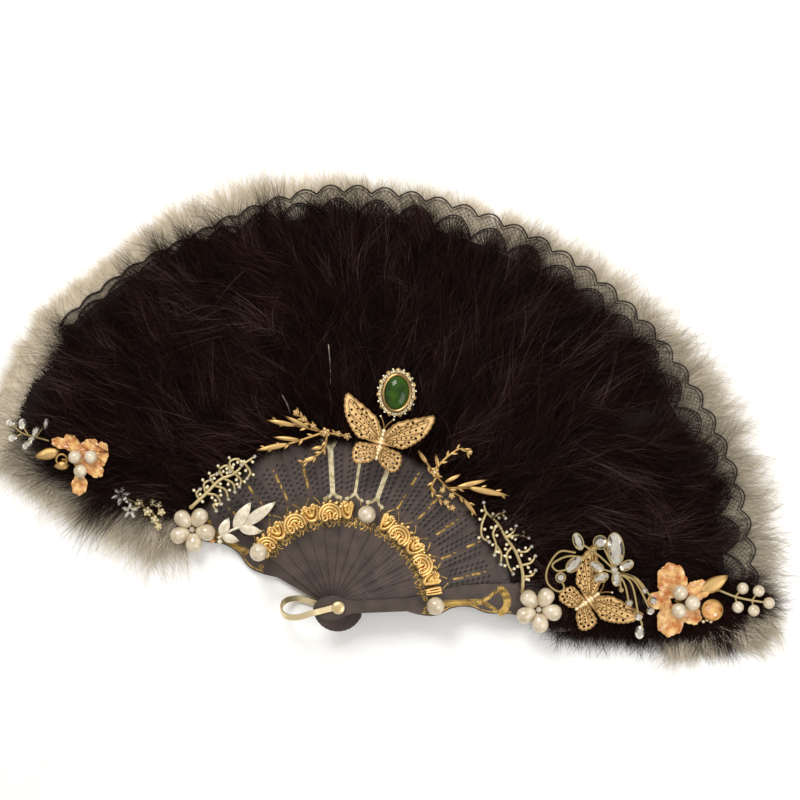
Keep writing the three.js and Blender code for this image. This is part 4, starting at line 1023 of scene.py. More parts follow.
# %% [markdown]
# Stroked down gathers into locks. A lock on the leaf leans with a slow swirl that depends on its place, and
# random numbers spread its strands and bend them.

# %% Locks of down
def flow(x, y):
    """How far the down leans from straight out at a place on the leaf, in radians."""
    degrees = np.degrees(np.arctan2(y, x))
    lean = 30 * np.exp(-((degrees - 126) / 26) ** 2) - 8 * np.exp(-((degrees - 40) / 22) ** 2)
    swirl = 20 * np.sin(x / 19 + y / 27 + 0.6) + 15 * np.sin(y / 15 - x / 34 + 2.1)
    return np.radians(lean + swirl)


def wisps(random, roots, headings, lengths, gather, count, lift, drop, width, tones, fade=0.0, uneven=0.1):
    """Locks of strands: each lock starts wide and gathers to a tip, as stroked down does."""
    n = len(roots)
    turn = random.normal(0, 0.55, n)
    shape = (n, count)
    side = random.normal(0, 1, shape)
    ahead = random.uniform(-0.25, 0.25, shape) * lengths[:, None]
    c, s = np.cos(headings)[:, None], np.sin(headings)[:, None]
    x = roots[:, :1] - s * side * gather + c * ahead
    y = roots[:, 1:2] + c * side * gather + s * ahead
    z = roots[:, 2:] + random.uniform(-0.3, 0.6, shape) * lift
    heading = headings[:, None] - 0.9 * side * gather / lengths[:, None] + random.normal(0, 0.16, shape)
    length = lengths[:, None] * random.uniform(0.55, 1.15, shape)
    bend = turn[:, None] + random.normal(0, 0.3, shape)
    lifts = lift * random.uniform(0.1, 1.0, shape)
    drops = drop * random.uniform(0, 1.0, shape)
    widths = random.uniform(0.6, 1.4, n * count) * width
    tone = np.clip(np.repeat(tones, count) + random.normal(0, uneven, n * count), 0, 1)
    return strands(
        np.stack([x, y, z], -1).reshape(-1, 3), heading.ravel(), length.ravel(), bend.ravel(), lifts.ravel(),
        drops.ravel(), widths, tone, fade)


def dyed_tones(random, count):
    return np.clip(random.gamma(1.6, 0.13, count), 0, 1)


print("lock helpers ready")

# %% [markdown]
# The dyed down lies in a wide row over the leaf and a short one along its inner edge. It stops short of the
# rim, most of all on the left. The seed depends only on the stick, so the same fan comes out each time. Two
# bare quills show among the feathers.

# %% Feather rows
FEATHER_SEED = 100
LOCKS = 68
INNER_LOCKS = 24
LOCK_STRANDS = 58
WIDE_ROW = (118, 203)
INNER_ROW = (97, 122)
DOWN_LEFT = math.radians(165.5)
ROW_LIFT = 4.5
ROW_DEPTH = 3.2
LOCK_LENGTHS = (24, 44)
RIM_ZONE = 18
RIM_LENGTH_SHARE = 0.62
GUARD_LOFT = 0.35
BACK_SHARE = 0.62
FRONT_SHARE = 0.15
FRONT_SPAN = (math.radians(22), math.radians(24))
REACH_ANGLES = [8, 25, 39, 54, 74, 89, 104, 119, 129, 139, 150, 158, 166, 176]
REACH = [236, 243, 242, 240, 232, 230, 231, 235, 230, 224, 226, 220, 213, 210]
MARGIN_ANGLES = [112, 135, 148, 152]
MARGIN = [24, 29, 29, 38]
QUILLS = ((4, (-30, 112.4), (-25.7, 102.7)), (5, (-5.4, 139.1), (-4.3, 114)))
FEATHER_NODES = ["marabou_inner_row", "marabou_middle_row", "marabou_outer_row"]


def reach_at(angles):
    """How far from the rivet the tips come, which is less at the left end."""
    return np.interp(np.degrees(angles), REACH_ANGLES, REACH)


def down_locks(random, low, high, inner, outer, count, loft=1.0):
    angles = random.uniform(low, high, count)
    margin = np.interp(np.degrees(angles), MARGIN_ANGLES, MARGIN)
    outermost = np.minimum(outer, reach_at(angles) - margin)
    radii = np.sqrt(inner**2 + random.uniform(0, 1, count) * (outermost**2 - inner**2))
    x, y = radii * np.cos(angles), radii * np.sin(angles)
    z = leaf_height(angles, radii) + 0.8 + random.uniform(0, 1, count) * ROW_DEPTH * loft
    near_rim = radii > outermost - RIM_ZONE
    headings = angles + flow(x, y) * np.where(near_rim, 0.5, 1.0) + random.normal(0, 0.3, count)
    lengths = random.uniform(*LOCK_LENGTHS, count) * np.where(near_rim, RIM_LENGTH_SHARE, 1.0)
    return wisps(
        random, np.column_stack([x, y, z]), headings, lengths, 3.2, LOCK_STRANDS, ROW_LIFT * loft, 2.0, 0.3,
        dyed_tones(random, count), uneven=0.2)


def bare_quill(index, tip, root):
    angle = np.array([stick_angle(index)])
    top, low = (float(leaf_height(angle, np.array([math.hypot(*p)]))[0]) for p in (tip, root))
    middle = (0.5 * (tip[0] + root[0]) + 0.5, 0.5 * (tip[1] + root[1]), 0.5 * (top + low) + 7.6)
    return tube(smooth_path([(*tip, top + 7.0), middle, (*root, low + 5.5)], 6), 0.26, 6)


for k in range(LAST + 1):
    random = np.random.default_rng(FEATHER_SEED + k)
    low, high = stick_angle(k) - PITCH / 2, stick_angle(k) + PITCH / 2
    share, loft = 1.0, 1.0
    if k == 0:
        high, share = DOWN_LEFT, BACK_SHARE
    if k >= LAST - 1:
        loft = GUARD_LOFT
    if k == LAST:
        (low, high), share = FRONT_SPAN, FRONT_SHARE
    groups = [down_locks(random, low, high, *WIDE_ROW, int(LOCKS * share), loft)]
    if k < LAST:
        groups.append(down_locks(random, low, high, *INNER_ROW, int(INNER_LOCKS * share), loft))
    add_strands(f"marabou_{k:02d}", groups, DOWN, stick_body(k), FEATHER_NODES if k == 0 else ())
for k, tip, root in QUILLS:
    form = [bare_quill(k, tip, root)]
    add_piece(f"bare_quill_{k:02d}", form, QUILL, stick_body(k), (), PHOTO_MATRIX)
print("feather groups:", LAST + 1)

# %% [markdown]
# Past the dyed down, the feather tips fade to a pale taupe fringe all round the rim. It is rooted under the
# leaf's edge, and over the lace at the far left. A thin ruffle of the same down hangs below the back guard.
# On the right dark down lies on the front guard and shows below it.

# %% Fringe and ruffle forms
FRINGE_SEED = 300
GUARD_SEED = 500
OVER_LACE = 150
RIM_LOCKS = 62
LEFT_RIM_LOCKS = 90
EDGE_LOCKS = 34
RIM_STRANDS = 26
RUFFLE_STRANDS = 34
EDGE_STRANDS = 40
RIM_ROOTS = (203, 214)
EDGE_ROOTS = (92.5, 98)
EDGE_LENGTHS = (5, 10)
LEFT_STICKS = 4
FRINGE_RIGHT = math.radians(9)
PALE_FROM = math.radians(75)


def rim_locks(random, low, high, count):
    angles = random.uniform(low, high, count)
    degrees = np.degrees(angles)
    reach = reach_at(angles)
    radii = np.minimum(random.uniform(*RIM_ROOTS, count), reach - 14)
    ground = leaf_height(angles, np.where(degrees > OVER_LACE, LEAF_OUTER, np.minimum(radii, LEAF_OUTER)))
    roots = polar(angles, radii, ground + np.where(degrees > OVER_LACE, 0.8, -0.9))
    lengths = (reach - radii) * random.uniform(0.75, 1.05, count)
    tones = np.clip(random.normal(np.interp(degrees, [20, 80], [0.58, 0.95]), 0.15), 0, 1)
    headings = angles + random.normal(0, 0.35, count)
    fade = 0.2 if low > PALE_FROM else 0.5
    return wisps(random, roots, headings, lengths, 2.2, RIM_STRANDS, 0.5, 1.2, 0.26, tones, fade)


def plan(degrees, radius):
    return polar(math.radians(degrees), float(radius), 0.0)[:2]


def ruffle(random, first, last, headings, lengths, ground, count, tone, fade=0.0, loft=1.0):
    """Locks that hang from a line between two places, each an angle and a distance from the rivet."""
    share = random.uniform(0, 1, count)
    start, end = plan(*first), plan(*last)
    roots = start + share[:, None] * (end - start) + random.normal(0, 2.5, (count, 2))
    turn = np.radians(np.interp(share, [0, 1], headings)) + random.normal(0, 0.28, count)
    reach = np.interp(share, [0, 1], lengths) * random.uniform(0.45, 1.1, count)
    height = np.interp(share, [0, 1], ground) + random.uniform(0, 2.0, count) * loft
    tones = np.clip(random.normal(tone, 0.2, count), 0, 1)
    roots = np.column_stack([roots, height])
    return wisps(random, roots, turn, reach, 2.6, RUFFLE_STRANDS, 1.2 * loft, 1.0, 0.28, tones, fade)


def inner_locks(random, low, high, count):
    """Short down along the leaf's inner edge, over the tops of the pierced panels."""
    angles = random.uniform(low, high, count)
    radii = random.uniform(*EDGE_ROOTS, count)
    roots = polar(angles, radii, leaf_height(angles, radii) + 1.2)
    headings = angles + math.pi + random.normal(0, 0.9, count)
    tones = dyed_tones(random, count)
    lengths = random.uniform(*EDGE_LENGTHS, count)
    return wisps(random, roots, headings, lengths, 2.4, EDGE_STRANDS, 1.0, 1.0, 0.3, tones)


print("fringe forms ready")

# %% [markdown]
# The fringe has more locks on the left, where the lace is narrow. The inner edge of the leaf gets a row of
# short dark down as well, over the tops of the panels.

# %% Place the fringe and ruffles
for k in range(LAST + 1):
    random = np.random.default_rng(FRINGE_SEED + k)
    low, high = stick_angle(k) - PITCH / 2, stick_angle(k) + PITCH / 2
    if k == 0:
        high = LEFT_FLAP
    if k == LAST:
        low = FRINGE_RIGHT
    groups = [rim_locks(random, low, high, LEFT_RIM_LOCKS if k < LEFT_STICKS else RIM_LOCKS)]
    if k == 0:
        groups.append(ruffle(random, (167, 94), (167, 190), (262, 232), (30, 24), (1.2, 1.2), 240, 0.8, 0.65))
    add_strands(f"fringe_{k:02d}", groups, FLUFF, stick_body(k))
    if 0 < k < LAST - 1:
        groups = [inner_locks(random, low, high, EDGE_LOCKS)]
        add_strands(f"inner_down_{k:02d}", groups, DOWN, stick_body(k))
random = np.random.default_rng(GUARD_SEED)
guard_tops = (topside(LAST, 110) + 0.2, topside(LAST, 204) + 0.2)
guard_down = [
    ruffle(random, (12, 118), (12.5, 206), (-80, -60), (17, 20), (1.5, 1.5), 260, 0.2),
    ruffle(random, (10, 200), (17, 216), (-30, 0), (22, 24), (1.5, 1.5), 60, 0.2),
    ruffle(random, (20, 112), (18, 204), (-85, -55), (14, 16), guard_tops, 200, 0.2, 0, 0.3),
    ruffle(random, (13, 110), (13, 204), (-85, -55), (13, 15), guard_tops, 200, 0.2, 0, 0.3)]
add_strands("marabou_by_guard", guard_down, DOWN, "front_guard")
corner = [ruffle(random, (9, 176), (12, 224), (-65, -15), (18, 20), (1.0, 1.0), 90, 0.85, 0.6)]
add_strands("fringe_corner", corner, FLUFF, "front_guard")
print("fringe and ruffles made")

# %% [markdown]
# ## Small forms
# Leaves and cut stones come up again and again in the ornaments. A leaf is a thin arched blade with a
# raised vein, and a stone is turned from a few flat facets.

# %% Leaf and stone forms
def cut_stone(x, y, z, length, width, turn=0.0, sides=8):
    """A faceted stone: a flat table, a crown, a girdle and a pointed back."""
    profile = [(0, -0.45), (0.5, 0), (0.5, 0.08), (0.3, 0.36), (0, 0.36)]
    points, faces = lathe(profile, sides)
    return moved((points * (length, width, width), faces), at(x, y, z, turn))


def leaf_blade(start, end, width, height, arch=1.0, thickness=0.6, vein=0.35):
    """A pointed leaf, arched along its length, with a raised middle vein."""
    start, end = np.array(start, float), np.array(end, float)
    along = end - start
    across = np.array([-along[1], along[0]]) / np.linalg.norm(along)
    rows, shares = 15, np.array([-1, -0.55, 0, 0.55, 1])
    t = np.linspace(0, 1, rows)
    half = width / 2 * np.sin(np.pi * t**0.85) ** 0.9 + 0.06
    plan_points = start + t[:, None, None] * along + half[:, None, None] * shares[:, None] * across
    lift = height + arch * np.sin(np.pi * t)[:, None] + vein * (1 - np.abs(shares)) ** 1.5
    upper = np.concatenate([plan_points, lift[..., None]], -1).reshape(-1, 3)
    lower = upper - (0, 0, thickness)
    sheet = grid_faces(rows, 5)
    n = len(upper)
    left, right = [i * 5 for i in range(rows)], [i * 5 + 4 for i in range(rows)]
    rim = left + list(range(left[-1] + 1, right[-1])) + right[::-1] + [3, 2, 1]
    sides = [(a, b, b + n, a + n) for a, b in zip(rim, rim[1:] + rim[:1])]
    faces = [tuple(f) for f in sheet] + [tuple(f[::-1] + n) for f in sheet] + sides
    return np.concatenate([upper, lower]), faces


print("ornament forms ready")

# %% [markdown]
# ## Scroll band
# The scrolls are cast in zinc and plated. A casting is drawn as strokes in the plan, each with a rounded
# back, and raised on a fine grid. Then it is bent round the rivet and closed below and at its sides.

# %% Castings in relief
SCROLL_RADIUS = 51.0
SCROLL_OFFSET = math.radians(2.3)
END_OFFSET = math.radians(7.6)
HIGH_LIFT = 4.5
PLATE = 0.8
GRID = 0.2
RIB = 1.25
LOW_HALF = 3.95
FULL_SIDE = 5.2
CUT_SIDE = 2.9
LOW_SIDES = {6: (CUT_SIDE, FULL_SIDE), 8: (FULL_SIDE, CUT_SIDE), 12: (CUT_SIDE, FULL_SIDE)}
NO_SCROLL = 7
PEARL_SIZE = 9.6


def spiral(x, y, radius, start, turns, steps=44):
    """A volute from its outer end to its eye."""
    t = np.linspace(1, 0.05, steps)
    angle = start + 2 * math.pi * turns * (1 - t)
    return np.column_stack([x + radius * t * np.cos(angle), y + radius * t * np.sin(angle)])


def stroke(points, wide, narrow, top):
    path = smooth_path(points, 8) if len(points) < 20 else np.asarray(points)
    return path, np.linspace(wide, narrow, len(path)), top


def shell(y, radii, stretch, first, last, tops):
    """Ribs side by side, bent round one centre like the flutes of a shell."""
    turn = np.linspace(first, last, 44)
    return [
        stroke(np.column_stack([r * np.cos(turn), y + stretch * r * np.sin(turn)]), RIB, RIB, top)
        for r, top in zip(radii, tops)]


def relief(strokes, bottom, raised=None):
    """A casting from rounded strokes in a plan of x along the band and y out from the rivet."""
    low = np.min([(path - widths[:, None]).min(0) for path, widths, _ in strokes], axis=0)
    high = np.max([(path + widths[:, None]).max(0) for path, widths, _ in strokes], axis=0)
    x, y = (np.arange(a - GRID, b + 2 * GRID, GRID) for a, b in zip(low, high))
    plan_grid = np.stack(np.meshgrid(x, y, indexing="ij"), -1)
    height = np.zeros(plan_grid.shape[:2])
    for path, widths, top in strokes:
        ratio = (np.linalg.norm(plan_grid[:, :, None] - path, axis=-1) / widths).min(-1)
        height = np.maximum(height, top * np.sqrt(np.clip(1 - ratio**2, 0, 1)))
    inside = height > 0.2
    cells = inside[:-1, :-1] & inside[1:, :-1] & inside[:-1, 1:] & inside[1:, 1:]
    i, j = np.nonzero(cells)
    a = i * len(y) + j
    used, quads = np.unique(np.stack([a, a + len(y), a + len(y) + 1, a + 1], 1), return_inverse=True)
    quads = quads.reshape(-1, 4)
    along, out = plan_grid.reshape(-1, 2)[used].T
    floor = np.full(len(used), bottom)
    if raised:
        floor = np.where(along < raised[0], raised[1], bottom)
    top = np.maximum(bottom + PLATE + height.ravel()[used], floor + 0.4)
    turn, radius = along / SCROLL_RADIUS, SCROLL_RADIUS + out
    ground = np.column_stack([radius * np.cos(turn) - SCROLL_RADIUS, radius * np.sin(turn)])
    n = len(used)
    edges = {(int(q[m]), int(q[(m + 1) % 4])) for q in quads for m in range(4)}
    sides = [(q + n, p + n, p, q) for p, q in edges if (q, p) not in edges]
    points = np.concatenate([np.column_stack([ground, top]), np.column_stack([ground, floor])])
    return points, [tuple(q[::-1]) for q in quads] + [tuple(q + n) for q in quads] + sides


print("relief ready")

# %% [markdown]
# High scrolls are an arch of ribs like a shell, with a crest of lobes, a bud and a volute at each foot. Low
# ones are a bowl of ribs with two volutes. Those next to the middle pearl and the front guard are narrower
# on that side.

# %% Shapes of the scrolls
def high_strokes():
    """An arch of ribs with a crest of lobes, a bud below it and a volute at each foot."""
    strokes = shell(-2.4, (2.5, 4.2, 5.8), 1.0, -0.2, math.pi + 0.2, (2.2, 2.9, 2.6))
    strokes.append(stroke([(0, -3.8), (0, -1.4)], 1.6, 1.2, 2.3))
    for side, size in ((-1, 2.0), (1, 2.5)):
        strokes.append(stroke(spiral(side * 3.4, -3.6, size, math.pi / 2, side * 1.1), 1.15, 0.85, 2.9))
    for degrees in (42, 66, 92, 118, 142):
        c, s = math.cos(math.radians(degrees)), math.sin(math.radians(degrees))
        strokes.append(stroke([(6.0 * c, -2.4 + 6.0 * s), (7.4 * c - 0.6, -2.4 + 7.6 * s)], 1.4, 0.9, 1.9))
    return strokes


def low_strokes(top, right, left):
    """A bowl of ribs with a volute at each upper end, which may be narrower on one side."""
    strokes = shell(2.2, (2.1, LOW_HALF), 1.5, math.pi - 0.2, 2 * math.pi + 0.2, (0.85 * top, top))
    strokes.append(stroke([(0, 0.8), (0, 3.4)], 1.3, 1.0, 0.9 * top))
    for side in (-1, 1):
        strokes.append(stroke(spiral(side * 2.4, 3.8, 1.6, -math.pi / 2, -side * 1.1), 1.15, 0.8, top))
    halves = [np.where(path[:, :1] < 0, right, left) for path, _, _ in strokes]
    narrowing = [(half - RIB) / LOW_HALF * (1, 0) + (0, 1) for half in halves]
    return [(path * narrow, widths, high) for (path, widths, high), narrow in zip(strokes, narrowing)]


print("strokes in a high scroll:", len(high_strokes()))

# %% [markdown]
# Each scroll sits on its own stick. High ones stand on a post, so that a low neighbour can slide under them
# as the fan folds. The middle stick has none, and a short ribbed one ends the band on the front guard.
# Round pearls sit among them.

# %% Place the scrolls and pearls
def on_stick(index, offset):
    x, y = SCROLL_RADIUS * math.cos(offset), SCROLL_RADIUS * math.sin(offset)
    return stick_matrix(index) @ at(x, y, stick_thickness(index), offset)


def add_scroll(name, form, body, node, matrix):
    add_piece(name, form, GOLD, body, [node], matrix, sharp=75)


high_form = [relief(high_strokes(), HIGH_LIFT), tube([(0, 0, SEAT), (0, 0, HIGH_LIFT + 1)], 1.4, 12)]
for k in range(1, LAST):
    if k == NO_SCROLL:
        continue
    form = high_form
    if k % 2 == 0:
        bowl = low_strokes(1.4 if k == LAST - 1 else 1.9, *LOW_SIDES.get(k, (FULL_SIDE, FULL_SIDE)))
        form = [relief(bowl, SEAT, (-2.8, 1.5))]
    add_scroll(f"cast_scroll_{k:02d}", form, stick_body(k), f"scroll_{k:02d}", on_stick(k, SCROLL_OFFSET))
end_ribs = [stroke([(x, -3.7), (1.2 * x, 0), (x, 3.7)], 0.85, 0.85, 1.7) for x in (-1.2, 0, 1.2)]
end_form = [relief(end_ribs, 1.6), tube([(0, 0, SEAT), (0, 0, 2.4)], 1.2, 12)]
add_scroll("cast_scroll_end", end_form, "front_guard", "scroll_end", on_stick(LAST, END_OFFSET))
for name, k, offset, lift in (("left", 1, 7, HIGH_LIFT + 2.3), ("middle", 7, 2.7, 0), ("right", LAST, -1, 0)):
    bead = round_bead((0, 0, lift + SEAT + PEARL_SIZE / 2), (PEARL_SIZE, PEARL_SIZE, PEARL_SIZE), 32)
    add_piece(f"round_pearl_{name}", [bead], PEARL, stick_body(k), [f"scroll_pearl_{name}"],
              on_stick(k, math.radians(offset)), sharp=180)
print("scrolls and pearls made, points in a high one:", len(high_form[0][0]))

# %% [markdown]
# ## Ornaments
# The ornaments are laid out in the photograph's own axes, from the rivet: x to the right and y up. Those
# that pass over each other as the fan folds lie at different heights.

# %% Heights of the ornaments
RIGHT_BRANCH_LEVEL = topside(LAST, LEAF_INNER) + SEAT
LEFT_BRANCH_LEVEL = 10.0
LEFT_SPRAY_LEVEL = LEFT_BRANCH_LEVEL + 2.9
RIGHT_SPRAY_LEVEL = RIGHT_BRANCH_LEVEL + 2.9
BUTTERFLY_LEVEL = RIGHT_SPRAY_LEVEL + 2.5


def foot(index, x, y, top, radius=1.2):
    return tube([(x, y, topside(index, math.hypot(x, y)) + SEAT), (x, y, top)], radius, 12)


def ornament(name, parts, material, body, replaces=(), sharp=40):
    return add_piece(name, parts, material, body, replaces, PHOTO_MATRIX, sharp)


print("butterfly level:", round(BUTTERFLY_LEVEL, 2), "mm")

# %% [markdown]
# The butterflies are stamped brass filigree: a thin dark plate pierced with rows of round holes between the
# veins and along the margin. The veins, the rim and the body are bright wire and beads soldered on.

# %% Wings
UPPER_WING = [
    (0.02, 0.15), (0.1, 0.33), (0.22, 0.48), (0.48, 0.62), (0.72, 0.72), (0.86, 0.78), (0.9, 0.7), (0.86, 0.5),
    (0.79, 0.35), (0.68, 0.21), (0.56, 0.1), (0.43, 0.02), (0.28, 0.03), (0.02, 0.0)]
LOWER_WING = [
    (0.02, -0.02), (0.2, -0.03), (0.42, -0.06), (0.49, -0.19), (0.47, -0.36), (0.37, -0.45), (0.22, -0.41),
    (0.1, -0.35), (0.02, -0.18)]
ROW_HOLES = ((0.8, 0.025), (0.68, 0.024), (0.56, 0.022), (0.45, 0.018), (0.34, 0.015))
MARGIN_HOLE = 0.03
WIRE_HEIGHT = 0.8


def wing_parts(outline, length, holes, veins):
    """A stamped plate with rows of round holes, and the wires of its rim and veins."""
    edge = smooth_path(np.array(outline) * length, 10)
    middle, root = edge.mean(axis=0), edge[[0, -1]].mean(axis=0)
    span = len(edge) - 1
    share = np.arange(span + 1) / span
    inward = (middle - edge) / np.linalg.norm(middle - edge, axis=1)[:, None]
    scallop = 0.02 * length * np.abs(np.cos(np.pi * holes * share)) * (np.abs(share - 0.5) < 0.42)
    rim_line = edge + inward * scallop[:, None]
    margin = [int(s * span) for s in np.linspace(0.08, 0.92, holes)]
    wished = [(edge[i] + inward[i] * 0.075 * length, MARGIN_HOLE) for i in margin]
    wires = []
    for n, s in enumerate(np.linspace(0.1, 0.9, 2 * veins + 1)):
        target = edge[int(s * span)] - root
        if n % 2:
            wires.append(tube(level([root + target * 0.08, root + target * 0.9], WIRE_HEIGHT), 0.27, 5))
        else:
            wished += [(root + target * out, size) for out, size in ROW_HOLES]
    kept = []
    for place, size in wished:
        clear = np.linalg.norm(rim_line - place, axis=1).min() > (size + 0.022) * length
        if clear and all(np.linalg.norm(place - p) > (size + s + 0.008) * length for p, s in kept):
            kept.append((place, size))
    loops = [[tuple(p) for p in rim_line]] + [circle(*place, size * length, 8) for place, size in kept]
    wires.append(tube(level(rim_line, WIRE_HEIGHT), 0.42, 6))
    first, last = int(0.1 * span), int(0.9 * span)
    wires.append(tube(level((edge + 0.13 * length * inward)[first:last], WIRE_HEIGHT), 0.28, 5))
    return flat_cut(loops, 0.55, 0.2), wires


def both_wings(form, rise):
    """A wing tilted up from the body, and its mirror image."""
    points, faces = moved(form, np.array(Matrix.Rotation(-math.radians(rise), 4, "Y")))
    return [(points, faces), (points * (-1, 1, 1), [tuple(reversed(f)) for f in faces])]


print("wing forms ready")

# %% [markdown]
# The wings are tilted up from a body of beads with two feelers. The middle butterfly stands on a bar and a
# foot on its own stick, and the right one on the front guard.

# %% Butterflies
def butterfly_parts(length, rise, turn, x, y, height):
    """The plates, and the wires and beads. Rise and turn are in degrees."""
    plates, parts = [], []
    for outline, holes, veins in ((UPPER_WING, 22, 8), (LOWER_WING, 15, 6)):
        plate, wires = wing_parts(outline, length, holes, veins)
        plates += both_wings(plate, rise)
        for wire in wires:
            parts += both_wings(wire, rise)
    for share in np.linspace(-0.26, 0.26, 8):
        girth = 3.2 - 2.6 * abs(share - 0.05)
        parts.append(round_bead((0, share * length, 0), (girth, 0.1 * length, girth), 14))
    for side in (-1, 1):
        course = [(0, 0.3 * length, 0), (side * 1.4, 0.42 * length, 1), (side * 3.6, 0.52 * length, 1.4)]
        feeler = smooth_path(course, 6)
        parts.append(tube(feeler, 0.35, 6))
        parts.append(round_bead(feeler[-1], (1.2, 1.2, 1.2), 10))
    placed = at(x, y, height, math.radians(turn))
    return [moved(plate, placed) for plate in plates], [moved(part, placed) for part in parts]


MIDDLE_PLACE, MIDDLE_FOOT = (22.1, 86.2), (25, 81.5)
SIDE_PLACE = (132, 2.8)
BODY_RISE = 1.7
middle_height = BUTTERFLY_LEVEL + BODY_RISE
middle_wings, middle_butterfly = butterfly_parts(28, 14, -15, *MIDDLE_PLACE, middle_height)
middle_butterfly.append(tube(level([MIDDLE_PLACE, MIDDLE_FOOT], middle_height), 1.0, 8))
middle_butterfly.append(foot(7, *MIDDLE_FOOT, middle_height))
side_height = topside(LAST, SIDE_PLACE[0] - 12.5) + SEAT + BODY_RISE
side_wings, side_butterfly = butterfly_parts(26, 8, -55, *SIDE_PLACE, side_height)
side_butterfly.append(foot(LAST, *SIDE_PLACE, side_height))
for name, body, wings, parts in (
        ("middle", "stick_07", middle_wings, middle_butterfly),
        ("right", "front_guard", side_wings, side_butterfly)):
    ornament(f"filigree_butterfly_{name}", parts, WIRE, body, [f"butterfly_{name}"])
    ornament(f"wing_plates_{name}", wings, STAMPED, body)
print("butterflies made")

# %% [markdown]
# The oval stone is a smooth cabochon in a claw-less bezel. Round the bezel runs a row of beads and small
# leaves, cast in one with it.

# %% Stone and setting
STONE_PLACE = (30.8, 113.5)
STONE_TURN = math.radians(85)
SETTING_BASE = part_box("stone_setting")[0][2] / MM


def oval(length, width, profile, sides=48):
    points, faces = lathe(profile, sides)
    return points * (length, width, 1), faces


def oval_ring(reach, steps):
    return arc((0, 0), reach, 0, 2 * math.pi * (1 - 1 / steps), steps)


def setting_parts():
    parts = [flat_cut([oval_ring((12.2, 9.7), 48), oval_ring((8, 5.5), 40)], 1.0, 0.1)]
    for reach, wire, height in (((9.6, 7.1), 0.75, 2.9), ((9.9, 7.4), 0.7, 1.6)):
        parts.append(tube(level(arc((0, 0), reach, 0, 2 * math.pi, 65), height), wire, 8))
    for i in range(22):
        a = 2 * math.pi * i / 22
        c, s = math.cos(a), math.sin(a)
        parts.append(round_bead((11.3 * c, 8.8 * s, 1.7), (1.8, 1.8, 1.8), 10))
        if i % 2 == 0:
            parts.append(leaf_blade((10.6 * c, 8.1 * s), (13.5 * c, 11.0 * s), 2.5, 1.3, 0.5, 0.6))
        else:
            parts.append(round_bead((12.7 * c, 10.2 * s, 1.2), (1.3, 1.3, 1.3), 8))
    return parts


dome = [(0, 0), (0.49, 0), (0.5, 0.5)] + [
    (0.5 * math.cos(a), 1.4 + 3.6 * math.sin(a)) for a in np.linspace(0, math.pi / 2, 14)[:-1]] + [(0, 5)]
stone_matrix = at(*STONE_PLACE, SETTING_BASE + 1.3, STONE_TURN)
setting_matrix = at(*STONE_PLACE, SETTING_BASE, STONE_TURN)
ornament("green_cabochon", [moved(oval(18, 13, dome), stone_matrix)], STONE, "stick_07",
         ["oval_stone"], 180)
ornament("beaded_setting", [moved(p, setting_matrix) for p in setting_parts()], PALE_GOLD, "stick_07",
         ["stone_setting"])
print("stone set at", round(SETTING_BASE, 2), "mm")

# %% [markdown]
# The sprays beside the butterfly are bent gold wire with leaf-shaped ends and tufts of tiny flowers. The
# fine branches are knobbly wire in a cream plate, with buds on short stalks and a cut stone at each twig's
# end.

# %% Courses of the sprays and branches
LEFT_SPRAY = [
    [(5.5, 90.4), (-7.5, 92.6), (-23.5, 96.3), (-38, 99)], [(-10, 93.2), (-18.2, 99), (-22.5, 103.3)],
    [(-7.5, 92.6), (-26.2, 86.5), (-43, 83)], [(-6, 92.2), (-8, 83.6), (-15, 78), (-20, 76)]]
LEFT_BLADES = [
    ((-22, 96), (-38, 99), 2.6), ((-15, 94.5), (-29, 101.5), 2.2), ((-26, 86.5), (-43.6, 83), 2.8),
    ((-20, 88.5), (-35, 90), 2.2), ((-12, 80), (-20, 76), 2.2), ((-8, 85), (-15, 83.5), 2.0)]
LEFT_TUFTS = [
    (-7, 92.6, 4.6), (-22.5, 103, 3.2), (-18.5, 99.5, 3.0), (-13.5, 96, 3.0), (4.8, 90.4, 3.6), (0, 91.8, 3.0)]
RIGHT_SPRAY = [
    [(42.3, 82.9), (50, 72), (58, 63), (68, 56), (73.3, 48.2)], [(50, 72), (58, 80), (65, 84), (70, 81)],
    [(58, 63), (75, 63), (90.4, 58.9)], [(52, 69.5), (49.3, 63), (54, 57), (59.4, 53.5)]]
RIGHT_BLADES = [
    ((68, 63.5), (90.4, 58.9), 3.2), ((62, 63.5), (79, 67.5), 2.4), ((66, 57.5), (73.3, 48.2), 2.2),
    ((47, 76), (42.3, 82.9), 2.2), ((53, 73.5), (51.5, 81), 2.0), ((56, 66), (65, 70.5), 2.0)]
RIGHT_TUFTS = [
    (51, 71.5, 4.6), (60, 59, 3.2), (57, 55.5, 3.0), (60.4, 52.6, 3.0), (69.5, 82, 2.8), (55, 62, 3.0)]
LEFT_BRANCH = [
    [(-78.3, 52.8), (-70.5, 60), (-63.5, 67), (-55.5, 70.7), (-50, 76), (-44.5, 79.8)],
    [(-74, 56.6), (-75.6, 60), (-73.6, 62.4)], [(-70.5, 60), (-71.6, 65), (-68, 67.5)],
    [(-66, 64.5), (-68.2, 68.6), (-64.6, 70.6)], [(-61, 68), (-63.4, 72.4), (-59.4, 75), (-57.6, 71.6)],
    [(-55.5, 70.7), (-58, 76.6), (-53.2, 78.4), (-51.6, 75)], [(-70.5, 60), (-65, 59), (-62.4, 54.6)],
    [(-66, 64.2), (-60.4, 62.2), (-58.6, 57)], [(-61, 68), (-56.2, 65.4), (-55, 60.8)],
    [(-55.5, 70.7), (-52, 67.4), (-52.6, 63.6)], [(-50, 76), (-47, 71.6), (-48.6, 68)],
    [(-62.4, 54.6), (-66.6, 54), (-65, 51)]]
